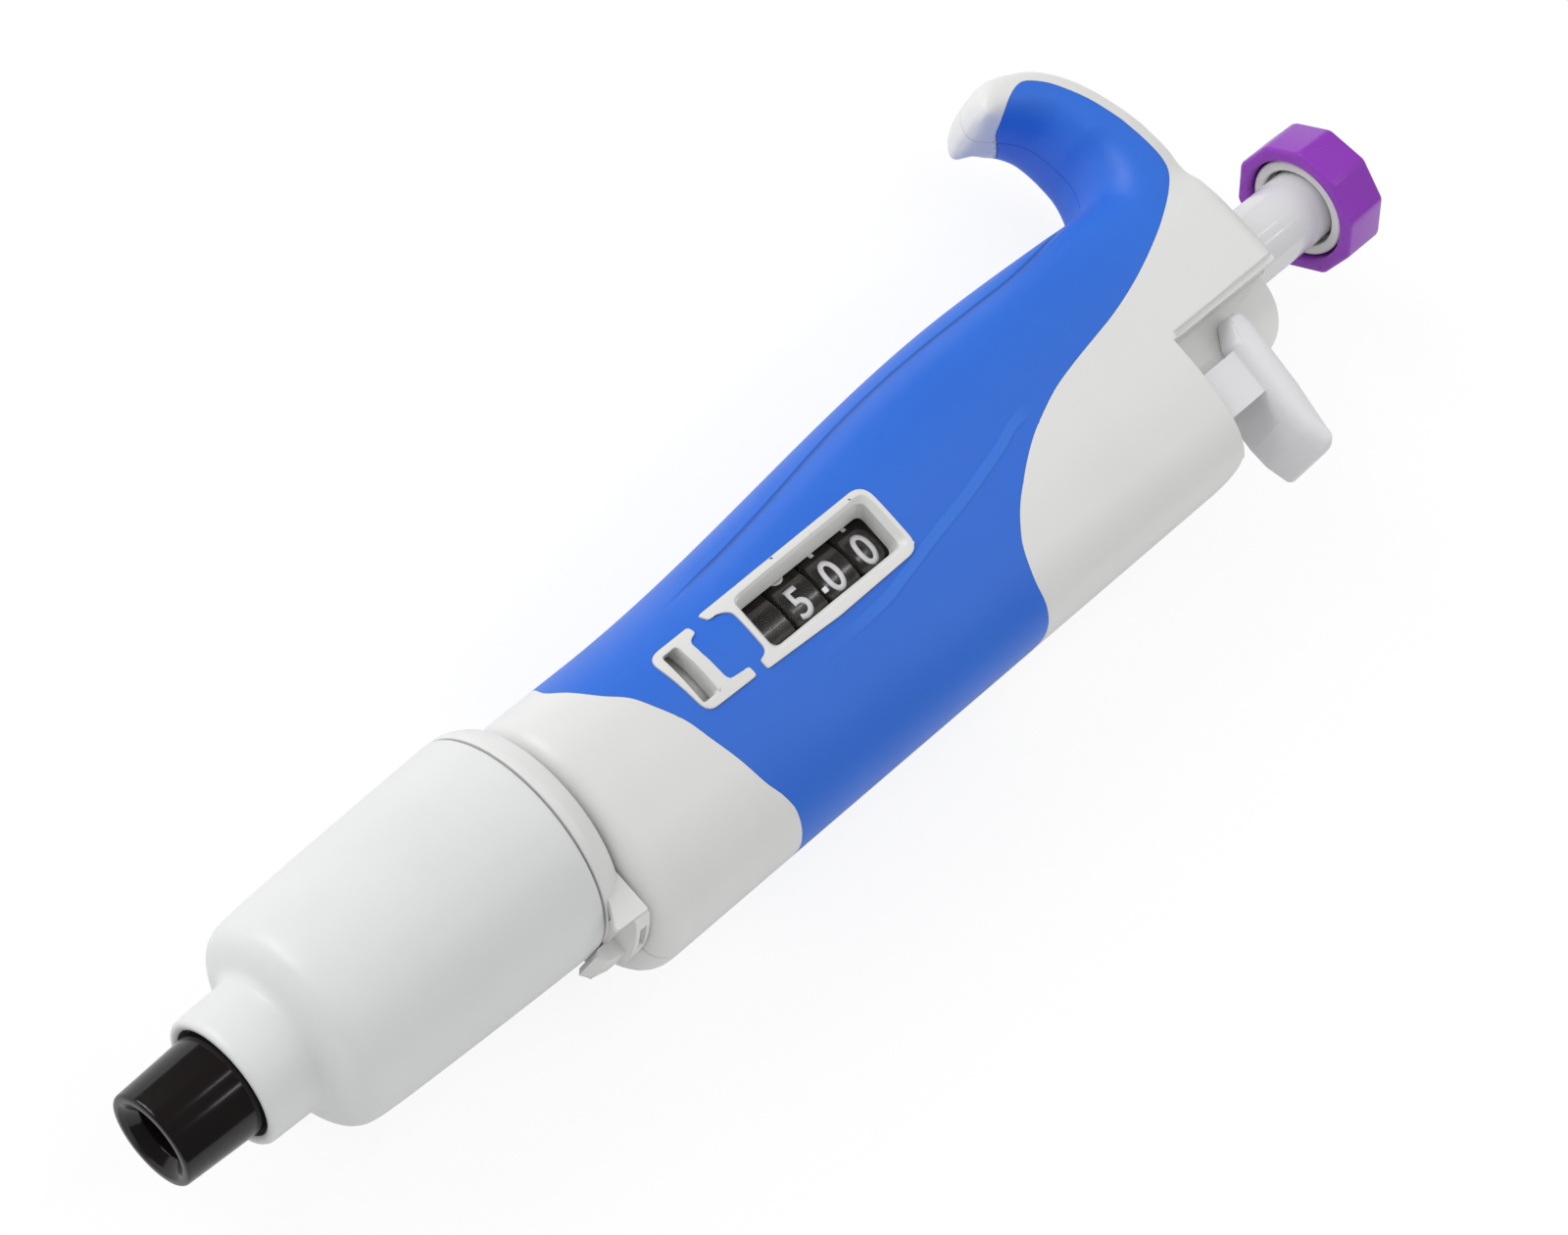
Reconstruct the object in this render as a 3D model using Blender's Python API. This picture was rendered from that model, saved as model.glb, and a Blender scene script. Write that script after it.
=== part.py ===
"""Adjustable-volume micropipette for large tips, lying on its back with its display up.

The piston axis runs along +X, from the tip cone's mouth to the push button. The finger
hook points along +Y, the ejector lever along -Y, and the display faces +Z. Every piece is
modelled about the piston axis, with x = 0 at the cone's mouth, and hangs on one empty that
stands the handle's flat back on the ground plane.
"""
import math

import bmesh
import bpy
from mathutils import Vector

MM = 0.001
GAP = 0.3 * MM

# Tip cone and the piston cylinder above it
CONE_LENGTH = 30.0 * MM
CONE_MOUTH_RADIUS = 6.85 * MM
CONE_TOP_RADIUS = 7.45 * MM
CONE_RIM_ROUND = 0.8 * MM
CONE_BORE_RADIUS = 4.0 * MM
CONE_THROAT_RADIUS = 2.0 * MM
CONE_FLANGE_LENGTH = 3.0 * MM
FILTER_LENGTH = 6.0 * MM
CYLINDER_LENGTH = 23.2 * MM
CYLINDER_WALL = 1.4 * MM
CYLINDER_FLANGE = 0.8 * MM
CYLINDER_FLANGE_LENGTH = 3.0 * MM
NUT_WALL = 1.1 * MM
NUT_LIP_LENGTH = 2.2 * MM
NUT_GRIP_LENGTH = 7.6 * MM

# Ejector sleeve, its ring and its side lug
SLEEVE_START = 11.0 * MM
SLEEVE_LENGTH = 49.7 * MM
SLEEVE_RADIUS = 17.0 * MM
SLEEVE_TAPER = 1.7 * MM
SLEEVE_WALL = 1.5 * MM
COLLAR_RADIUS = 9.5 * MM
COLLAR_LENGTH = 7.6 * MM
SHOULDER_LENGTH = 6.6 * MM
RING_LENGTH = 4.0 * MM
RING_ROUND = 1.5 * MM
SPIGOT_LENGTH = 2.6 * MM
SPIGOT_WALL = 0.8 * MM
LUG_WIDTH = 12.0 * MM
LUG_REACH = 2.6 * MM
LUG_LENGTH = 6.2 * MM
EJECTOR_TRAVEL = 6.0 * MM

# Handle
HANDLE_CLEARANCE = 0.5 * MM
HANDLE_LENGTH = 141.2 * MM
HANDLE_LOW_HOOK_SIDE = 14.0 * MM
HANDLE_HIGH_HOOK_SIDE = 19.5 * MM
HANDLE_TOP_HOOK_SIDE = 18.4 * MM
HANDLE_EJECTOR_SIDE = 24.0 * MM
HANDLE_FRONT_LOW = 14.3 * MM
HANDLE_FRONT_HIGH = 12.4 * MM
HANDLE_BACK = 17.3 * MM
HANDLE_WALL = 2.8 * MM
HANDLE_END_ROUND = 3.4 * MM
END_WALL = 4.7 * MM
NECK_LENGTH = 24.5 * MM
NECK_SIDE = 13.9 * MM
NECK_CORNER = 9.1 * MM
NECK_STEP = 1.0 * MM
BAY_SIDE = 4.5 * MM
BAY_FLOOR = 6.3 * MM
GRIP_WALL = 1.2 * MM
BEZEL_PROUD = 0.3 * MM
HOOK_HALF_WIDTH = 8.6 * MM
HOOK_TIP_HALF_WIDTH = 6.4 * MM
HOOK_ROUNDNESS = 0.62

# Core tube and the plunger train
CORE_WALL = 1.5 * MM
CORE_INSIDE_LENGTH = 18.7 * MM
CORE_FLANGE = 0.9 * MM
CORE_FLANGE_LENGTH = 1.7 * MM
CORE_SEAT_LENGTH = 2.0 * MM
PISTON_CLEARANCE = 0.4 * MM
PISTON_LENGTH = 6.3 * MM
PISTON_TOP_SPACE = 0.2 * MM
SEAL_WIDTH = 1.05 * MM
ROD_RADIUS = 3.0 * MM
ROD_SEAT_DEPTH = 3.0 * MM
STROKE = 14.0 * MM
BLOWOUT_TRAVEL = 2.2 * MM
BLOWOUT_SPRING_LENGTH = 10.0 * MM
BLOWOUT_WIRE_RADIUS = 0.8 * MM
BLOWOUT_TURNS = 3.5
PLATE_LENGTH = 2.0 * MM
CORE_CAP_LENGTH = 3.4 * MM
PRIMARY_SPRING_LENGTH = 22.4 * MM
PRIMARY_SPRING_RADIUS = 4.6 * MM
PRIMARY_WIRE_RADIUS = 0.55 * MM
PRIMARY_TURNS = 6.5
ROD_COLLAR_RADIUS = 5.8 * MM
ROD_COLLAR_LENGTH = 2.0 * MM
SPINDLE_RADIUS = 2.3 * MM
TRAVEL_NUT_SLACK = 4.5 * MM
TRAVEL_NUT_LENGTH = 6.0 * MM
TRAVEL_NUT_RADIUS = 6.8 * MM
STEM_RADIUS = 5.7 * MM
STEM_SPACING = 4.5 * MM
STEM_EXPOSED = 16.5 * MM
GUIDE_SPACING = 4.5 * MM
GUIDE_LENGTH = 3.0 * MM

# Push button
BUTTON_LENGTH = 8.0 * MM
BUTTON_CORNER_RADIUS = 10.75 * MM
BUTTON_SIDES = 10
BUTTON_TURN = 0.451
BUTTON_RIM = 2.0 * MM
BUTTON_WEB = 1.0 * MM
INSERT_WALL = 1.6 * MM
BUTTON_CAP_RADIUS = 6.5 * MM
BUTTON_CAP_LENGTH = 1.2 * MM

# Volume counter and its display
COUNTER_OFFSET = 36.6 * MM
WHEEL_RADIUS = 9.7 * MM
WHEEL_WIDTH = 6.1 * MM
WHEEL_BORE_RADIUS = 4.2 * MM
DRIVE_BORE_RADIUS = 2.6 * MM
FRAME_PLATE = 1.2 * MM
FRAME_BAR_WIDTH = 9.0 * MM
FRAME_BAR_HEIGHT = 1.6 * MM
PINION_RADIUS = 1.7 * MM
PINION_TOOTH = 0.5 * MM
PINION_TEETH = 8
PINION_LENGTH = 3.0 * MM
PINION_AXLE_RADIUS = 0.6 * MM
WINDOW_WALL = 0.9 * MM
WINDOW_FLOOR = 10.1 * MM
LENS_THICKNESS = 0.8 * MM
DIAL_OFFSET = 21.2 * MM
DIAL_LENGTH = 5.5 * MM
DIAL_RADIUS = 10.5 * MM
DIAL_BORE_RADIUS = 6.4 * MM

# Ejector linkage
EJECTOR_ROD_RADIUS = 1.6 * MM
EJECTOR_ROD_SIDE = 17.4 * MM
EJECTOR_SPRING_RADIUS = 2.75 * MM
EJECTOR_WIRE_RADIUS = 0.45 * MM
EJECTOR_SPRING_TURNS = 10.0
EJECTOR_COLLAR_SPACING = 3.0 * MM
EJECTOR_SEAT_SPACING = 0.8 * MM
EJECTOR_SEAT_LENGTH = 3.0 * MM
EJECTOR_COLLAR_RADIUS = 3.2 * MM
EJECTOR_COLLAR_LENGTH = 1.6 * MM
LEVER_BLOCK_LENGTH = 9.0 * MM
LEVER_BLOCK_WIDTH = 4.2 * MM
LEVER_ARM_THICKNESS = 2.4 * MM
LEVER_ARM_WIDTH = 7.2 * MM
LEVER_REACH = 30.2 * MM
LEVER_PAD_START_SIDE = 6.6 * MM
LEVER_PAD_THICKNESS = 3.6 * MM
LEVER_PAD_BACK = 3.2 * MM
LEVER_PAD_FRONT = 10.6 * MM

# Case screws
SCREW_HEAD_RADIUS = 2.3 * MM
SCREW_HEAD_LENGTH = 1.8 * MM
SCREW_SHANK_RADIUS = 1.3 * MM
SCREW_DEPTH = 4.0 * MM
SCREW_BITE = 6.0 * MM
POST_RADIUS = 3.4 * MM

# Outlines in millimetres, x from the handle's lower end and y from the piston axis. The lever pad's
# x is a share of its thickness, and its y is from the pad's root and from its toe.
GRIP_LOWER_EDGE = (
    (11.5, 30.0), (11.5, 14.3), (9.6, 12.2), (10.8, 10.0), (12.9, 6.7), (15.2, 4.2), (17.0, 1.0),
    (18.9, -2.6), (20.1, -6.4), (21.6, -10.7), (23.0, -15.0), (24.6, -18.1), (25.5, -21.6), (25.1, -32.0),
)
GRIP_UPPER_EDGE = (
    (73.4, -32.0), (73.8, -22.3), (73.7, -17.6), (75.3, -13.7), (78.3, -9.2), (82.2, -4.7), (87.4, -1.5),
    (94.0, 0.8), (102.4, 2.2), (109.2, 3.5), (116.2, 4.7), (119.8, 6.1), (127.2, 8.6), (134.6, 12.7),
    (138.3, 15.9), (139.0, 20.2), (138.6, 26.0), (137.4, 31.0), (135.2, 35.6), (132.6, 37.3), (129.9, 38.0),
    (129.5, 35.0), (129.2, 29.0), (108.0, 27.0), (104.0, 30.0),
)
HOOK_OUTER = (
    (141.0, 8.0), (142.4, 15.9), (142.4, 22.0), (141.4, 28.3), (138.9, 34.6), (135.0, 39.2), (130.4, 41.5),
    (127.0, 42.2), (124.2, 41.0), (123.0, 39.3), (122.7, 38.2),
)
HOOK_INNER = (
    (120.0, 8.0), (127.6, 17.2), (130.4, 22.6), (130.4, 27.0), (129.6, 30.6), (128.2, 32.7), (126.6, 34.1),
    (125.4, 35.0), (124.4, 35.7), (123.5, 36.4), (122.9, 37.2),
)
BEZEL_OUTLINE = (
    (29.9, 7.0), (60.6, 7.1), (62.6, 6.4), (63.5, 4.8), (63.6, -2.0), (62.9, -3.8), (61.2, -4.4),
    (46.0, -4.8), (32.7, -4.1), (32.7, -2.6), (34.0, -2.3), (34.5, -1.4), (34.3, 3.6), (33.6, 5.0),
    (30.6, 5.5),
)
DIAL_BEZEL_OUTLINE = (
    (21.2, 6.6), (28.2, 6.6), (28.6, 5.5), (27.0, 5.0), (26.7, 4.0), (27.3, -1.0), (28.0, -2.2),
    (30.8, -2.4), (30.9, -3.9), (22.9, -3.6), (22.0, -2.6), (20.7, 5.6),
)
LEVER_PAD_ROOT = ((-0.1, -2.4), (0.4, 0.0), (0.95, 0.0), (1.15, -0.8))
LEVER_PAD_TOE = (
    (0.86, 10.0), (0.68, 6.5), (0.46, 3.6), (0.18, 1.1), (-0.08, 0.0), (-0.32, 0.9), (-0.5, 3.6), (-0.52, 7.5),
)
WINDOW_LOW = (35.7, -2.7)
WINDOW_HIGH = (61.7, 5.8)
WINDOW_DRAFT = 0.9
DIAL_SLOT_LOW = (22.5, -2.3)
DIAL_SLOT_HIGH = (25.1, 5.6)
SCREW_PLACES = ((30.9, -10.4), (74.7, 11.0), (109.6, 10.5))

ROUND_SIDES = 32
SMALL_SIDES = 14
SECTION_SIDES = 40
FAR = 60.0 * MM
SHARP_ANGLE = math.radians(32.0)

# Places along the axis that follow from the sizes above
CYLINDER_START = CONE_LENGTH + GAP
CYLINDER_END = CYLINDER_START + CYLINDER_LENGTH
SPIGOT_RADIUS = SLEEVE_RADIUS - SLEEVE_WALL - GAP
NUT_RADIUS = SPIGOT_RADIUS - SPIGOT_WALL - GAP
FLANGE_RADIUS = NUT_RADIUS - NUT_WALL - GAP
CYLINDER_RADIUS = FLANGE_RADIUS - CYLINDER_FLANGE
CYLINDER_BORE_RADIUS = CYLINDER_RADIUS - CYLINDER_WALL
CORE_RADIUS = CYLINDER_BORE_RADIUS - GAP
CORE_START = CYLINDER_END + GAP
NUT_START = CYLINDER_END - CYLINDER_FLANGE_LENGTH - GAP - NUT_LIP_LENGTH
NUT_END = CORE_START + NUT_GRIP_LENGTH
SLEEVE_END = SLEEVE_START + SLEEVE_LENGTH
RING_START = SLEEVE_END + GAP
RING_END = RING_START + RING_LENGTH
HANDLE_START = RING_END + HANDLE_CLEARANCE
HANDLE_END = HANDLE_START + HANDLE_LENGTH
BUTTON_START = HANDLE_END + STEM_EXPOSED
TOTAL_LENGTH = BUTTON_START + BUTTON_LENGTH
CAVITY_START = HANDLE_START + END_WALL
CAVITY_END = HANDLE_END - NECK_LENGTH - END_WALL / 2
CORE_END = HANDLE_START + CORE_INSIDE_LENGTH
CORE_BORE_RADIUS = CORE_RADIUS - CORE_WALL
BLOWOUT_SPRING_RADIUS = CORE_BORE_RADIUS - 2 * GAP - BLOWOUT_WIRE_RADIUS
PLATE_END = CAVITY_START + 2 * PLATE_LENGTH
PLATE_START = PLATE_END - PLATE_LENGTH
BLOWOUT_SEAT = PLATE_START - GAP - BLOWOUT_SPRING_LENGTH
ROD_COLLAR_START = PLATE_END + 2 * GAP + PRIMARY_SPRING_LENGTH
ROD_END = ROD_COLLAR_START + ROD_COLLAR_LENGTH
PISTON_END = CYLINDER_END - PISTON_TOP_SPACE
PISTON_START = PISTON_END - PISTON_LENGTH
PISTON_RADIUS = CYLINDER_BORE_RADIUS - PISTON_CLEARANCE
SPINDLE_START = ROD_END + GAP
BUTTON_CAVITY_END = TOTAL_LENGTH - BUTTON_CAP_LENGTH - GAP - BUTTON_WEB
STEM_END = BUTTON_CAVITY_END - GAP
COUNTER_START = HANDLE_START + COUNTER_OFFSET
WHEEL_PITCH = WHEEL_WIDTH + GAP
COUNTER_END = COUNTER_START + 4 * WHEEL_PITCH
FRAME_END = COUNTER_END + FRAME_PLATE
TRAVEL_NUT_START = FRAME_END + 2 * GAP + STROKE + BLOWOUT_TRAVEL + TRAVEL_NUT_SLACK
STEM_START = TRAVEL_NUT_START + TRAVEL_NUT_LENGTH + STEM_SPACING
GUIDE_START = STEM_START + GUIDE_SPACING
PINION_OUTER_RADIUS = PINION_RADIUS + PINION_TOOTH
PINION_SIDE = WHEEL_RADIUS + 2 * GAP + PINION_OUTER_RADIUS
EJECTOR_SEAT_END = FRAME_END + EJECTOR_SEAT_SPACING + EJECTOR_SEAT_LENGTH
LEVER_ARM_BOTTOM = BAY_FLOOR + GAP
LEVER_ARM_TOP = LEVER_ARM_BOTTOM + LEVER_ARM_THICKNESS
LEVER_ARM_SIDE = -EJECTOR_ROD_SIDE - 0.5 * MM
LEVER_BLOCK_END = CAVITY_END - 2 * GAP
LEVER_BLOCK_START = LEVER_BLOCK_END - LEVER_BLOCK_LENGTH
EJECTOR_COLLAR_START = LEVER_BLOCK_START - EJECTOR_COLLAR_SPACING - EJECTOR_COLLAR_LENGTH
LEVER_PAD_START = HANDLE_END - NECK_LENGTH + EJECTOR_TRAVEL + 4.2 * MM
LEVER_PAD_END = LEVER_PAD_START + LEVER_PAD_THICKNESS


def clear_scene():
    """Empties the file of its objects."""
    for old in list(bpy.data.objects):
        bpy.data.objects.remove(old)


def finish(name, colour, roughness, metallic=0.0):
    """Gives a plain Principled material."""
    material = bpy.data.materials.new(name)
    material.use_nodes = True
    shader = material.node_tree.nodes["Principled BSDF"]
    shader.inputs["Base Color"].default_value = (*colour, 1.0)
    shader.inputs["Roughness"].default_value = roughness
    shader.inputs["Metallic"].default_value = metallic
    material.diffuse_color = (*colour, 1.0)
    return material


def mesh_object(name, work, material=None):
    """Closes a bmesh into an object whose faces point out, and hangs it on the pipette's empty."""
    bmesh.ops.remove_doubles(work, verts=work.verts, dist=0.001 * MM)
    bmesh.ops.recalc_face_normals(work, faces=work.faces)
    mesh = bpy.data.meshes.new(name)
    work.to_mesh(mesh)
    work.free()
    mesh.shade_smooth()
    mesh.set_sharp_from_angle(angle=SHARP_ANGLE)
    made = bpy.data.objects.new(name, mesh)
    bpy.context.scene.collection.objects.link(made)
    if material is not None:
        mesh.materials.append(material)
    made.parent = bpy.data.objects["pipette"]
    return made


def as_cutter(tool):
    """Marks an object as a cutter that isn't part of the pipette."""
    tool.hide_render = True
    tool.display_type = "WIRE"
    return tool


def combine(target, tool, operation="DIFFERENCE"):
    """Adds a Boolean of the tool to the target."""
    modifier = target.modifiers.new(tool.name, "BOOLEAN")
    modifier.solver = "EXACT"
    modifier.operation = operation
    modifier.object = tool
    as_cutter(tool)
    return target


def add_turned(work, profile, steps, centre=(0.0, 0.0)):
    """Turns a profile of (x, radius) points about an axis along X through the centre (y, z)."""
    rings = []
    for x, radius in profile:
        if radius <= 0.0:
            rings.append([work.verts.new((x, centre[0], centre[1]))] * steps)
            continue
        ring = []
        for step in range(steps):
            angle = 2 * math.pi * step / steps
            side = centre[0] + radius * math.cos(angle)
            height = centre[1] + radius * math.sin(angle)
            ring.append(work.verts.new((x, side, height)))
        rings.append(ring)
    closed = profile[0][1] > 0.0 and profile[-1][1] > 0.0
    pairs = list(zip(rings, rings[1:]))
    if closed:
        pairs.append((rings[-1], rings[0]))
    for first, second in pairs:
        for step in range(steps):
            after = (step + 1) % steps
            corners = [first[step], first[after], second[after], second[step]]
            unique = list(dict.fromkeys(corners))
            if len(unique) > 2:
                work.faces.new(unique)


def turned(name, profile, material=None, steps=ROUND_SIDES, centre=(0.0, 0.0)):
    """Makes one turned piece about an axis along X."""
    work = bmesh.new()
    add_turned(work, profile, steps, centre)
    return mesh_object(name, work, material)


def add_loft(work, rings):
    """Skins rings of equal length and closes both ends."""
    loops = [[work.verts.new(point) for point in ring] for ring in rings]
    for first, second in zip(loops, loops[1:]):
        for index in range(len(first)):
            after = (index + 1) % len(first)
            work.faces.new((first[index], first[after], second[after], second[index]))
    work.faces.new(loops[0])
    work.faces.new(loops[-1])


def loft(name, rings, material=None):
    """Makes one closed skin over rings of equal length."""
    work = bmesh.new()
    add_loft(work, rings)
    return mesh_object(name, work, material)


def prism(name, outline, low, high, material=None):
    """Extrudes an (x, y) outline from one height to another."""
    rings = [[(x, y, height) for x, y in outline] for height in (low, high)]
    return loft(name, rings, material)


def box(name, low, high, material=None):
    """Makes a box between two corners."""
    outline = ((low[0], low[1]), (high[0], low[1]), (high[0], high[1]), (low[0], high[1]))
    return prism(name, outline, low[2], high[2], material)


def cross_drilling(name, radius, x, y, low, high, steps=SMALL_SIDES):
    """Makes a round bar along Z, used as a post or as a drill."""
    outline = []
    for step in range(steps):
        angle = 2 * math.pi * step / steps
        outline.append((x + radius * math.cos(angle), y + radius * math.sin(angle)))
    return prism(name, outline, low, high)


def grown(outline, distance):
    """Moves each side of an (x, y) outline outwards by a distance."""
    area = 0.0
    for (x0, y0), (x1, y1) in zip(outline, outline[1:] + outline[:1]):
        area += x0 * y1 - x1 * y0
    turn = 1.0 if area > 0 else -1.0
    moved = []
    for index, point in enumerate(outline):
        here = Vector(point)
        before = (here - Vector(outline[index - 1])).normalized()
        after = (Vector(outline[(index + 1) % len(outline)]) - here).normalized()
        normal = Vector((before.y + after.y, -before.x - after.x)) * turn
        reach = distance / max(0.5, normal.length / 2) / normal.length
        moved.append(tuple(here + normal * reach))
    return moved


def on_handle(points):
    """Turns outline points in millimetres into places along the pipette."""
    return [(HANDLE_START + x * MM, y * MM) for x, y in points]


def coil(name, start, end, radius, wire, turns, material, side=0.0):
    """Winds a round wire between two stations along X."""
    sides = 6
    steps = int(turns * 11)
    rings = []
    for step in range(steps + 1):
        share = step / steps
        angle = 2 * math.pi * turns * share
        x = start + wire + (end - start - 2 * wire) * share
        outward = Vector((0.0, math.cos(angle), math.sin(angle)))
        ring = []
        for corner in range(sides):
            around = 2 * math.pi * corner / sides
            point = outward * (radius + wire * math.cos(around))
            point += Vector((x + wire * math.sin(around), -side, 0.0))
            ring.append(point)
        rings.append(ring)
    return loft(name, rings, material)


def eased(share):
    """Runs smoothly from 0 to 1."""
    share = min(1.0, max(0.0, share))
    return share * share * (3 - 2 * share)


def handle_sides(x):
    """Gives the handle's reach towards the hook, the ejector, the front and its section's squareness."""
    share = (x - HANDLE_START) / HANDLE_LENGTH
    swell = eased((share - 0.12) / 0.56)
    fall = eased((share - 0.68) / 0.32)
    hook = HANDLE_LOW_HOOK_SIDE + (HANDLE_HIGH_HOOK_SIDE - HANDLE_LOW_HOOK_SIDE) * swell
    hook += (HANDLE_TOP_HOOK_SIDE - HANDLE_HIGH_HOOK_SIDE) * fall
    front = HANDLE_FRONT_LOW + (HANDLE_FRONT_HIGH - HANDLE_FRONT_LOW) * eased((share - 0.45) / 0.55)
    squareness = 2.1 + 1.1 * eased((share - 0.05) / 0.7)
    return hook, HANDLE_EJECTOR_SIDE, front, squareness


def handle_ring(x, inset):
    """Gives one section of the handle, drawn in by an inset, with a flat back."""
    hook, ejector, front, squareness = handle_sides(x)
    back_squareness = 2.7
    ring = []
    for step in range(SECTION_SIDES):
        angle = 2 * math.pi * step / SECTION_SIDES
        across = math.cos(angle)
        upright = math.sin(angle)
        power = 2 / (squareness if upright >= 0 else back_squareness)
        reach = (hook if across >= 0 else ejector) - inset
        height = (front if upright >= 0 else HANDLE_BACK * 1.015) - inset
        y = math.copysign(abs(across) ** power, across) * reach
        z = math.copysign(abs(upright) ** power, upright) * height
        ring.append((x, y, max(z, inset - HANDLE_BACK)))
    return ring


def hook_rings(inset):
    """Gives the finger hook's sections from its root in the handle to its tip."""
    outer = on_handle(HOOK_OUTER)
    inner = on_handle(HOOK_INNER)
    rings = []
    last = len(outer) - 1
    for index, (far, near) in enumerate(zip(outer, inner)):
        far = Vector((*far, 0.0))
        near = Vector((*near, 0.0))
        centre = (far + near) / 2
        half = max((far - near).length / 2 - inset, 0.35 * MM)
        outward = (far - near).normalized()
        width = HOOK_HALF_WIDTH + (HOOK_TIP_HALF_WIDTH - HOOK_HALF_WIDTH) * index / last
        if index == last:
            width = width * 0.72
            centre -= (centre - previous).normalized() * inset
        width -= inset
        ring = []
        for step in range(20):
            angle = 2 * math.pi * step / 20
            across = math.copysign(abs(math.cos(angle)) ** HOOK_ROUNDNESS, math.cos(angle))
            upright = math.copysign(abs(math.sin(angle)) ** HOOK_ROUNDNESS, math.sin(angle))
            point = centre + outward * across * half
            ring.append((point.x, point.y, upright * width))
        rings.append(ring)
        previous = centre
    return rings


def handle_body(name, inset, material=None):
    """Makes the handle's outer form with its hook, drawn in by an inset."""
    stations = (
        (0.0, HANDLE_END_ROUND), (0.3, HANDLE_END_ROUND * 0.5), (1.0, 0.15 * HANDLE_END_ROUND),
    )
    rings = []
    for share, draw in stations:
        rings.append(handle_ring(HANDLE_START + inset + share * HANDLE_END_ROUND, inset + draw))
    first = HANDLE_START + 1.6 * HANDLE_END_ROUND
    last = HANDLE_END - HANDLE_END_ROUND
    middle = 14
    for index in range(middle + 1):
        rings.append(handle_ring(first + (last - first) * index / middle, inset))
    rings.append(handle_ring(HANDLE_END - inset - 0.3 * HANDLE_END_ROUND, inset + 0.3 * HANDLE_END_ROUND))
    rings.append(handle_ring(HANDLE_END - inset, inset + 0.8 * HANDLE_END_ROUND))
    body = loft(name, rings, material)
    hook = loft(name + "_hook", hook_rings(inset))
    return combine(body, hook, "UNION")


def cavity(name):
    """Makes the handle's hollow with its posts, spring seat and stem guide left standing."""
    inset = HANDLE_WALL
    rings = []
    steps = 12
    for index in range(steps + 1):
        x = CAVITY_START + (CAVITY_END - CAVITY_START) * index / steps
        rings.append(handle_ring(x, inset))
    hollow = loft(name, rings)
    for index, (x, y) in enumerate(on_handle(SCREW_PLACES)):
        post = cross_drilling(f"{name}_post_{index}", POST_RADIUS, x, y, -FAR, FAR)
        combine(hollow, post)
    guide_low = GUIDE_START
    guide = box(
        name + "_guide",
        (guide_low, LEVER_ARM_SIDE + LEVER_ARM_WIDTH + 2 * GAP, -FAR),
        (guide_low + GUIDE_LENGTH, FAR, FAR),
    )
    combine(hollow, guide)
    seat = box(
        name + "_seat",
        (EJECTOR_SEAT_END - EJECTOR_SEAT_LENGTH, -FAR, -FAR),
        (EJECTOR_SEAT_END, -WHEEL_RADIUS - 2.0 * MM, FAR),
    )
    return combine(hollow, seat)


def grip_outline():
    """Gives the grip moulding's outline, open past the handle on the hook's side."""
    lower = [(x, y) for x, y in GRIP_LOWER_EDGE]
    upper = [(x, y) for x, y in GRIP_UPPER_EDGE]
    return on_handle(lower + upper)


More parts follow.
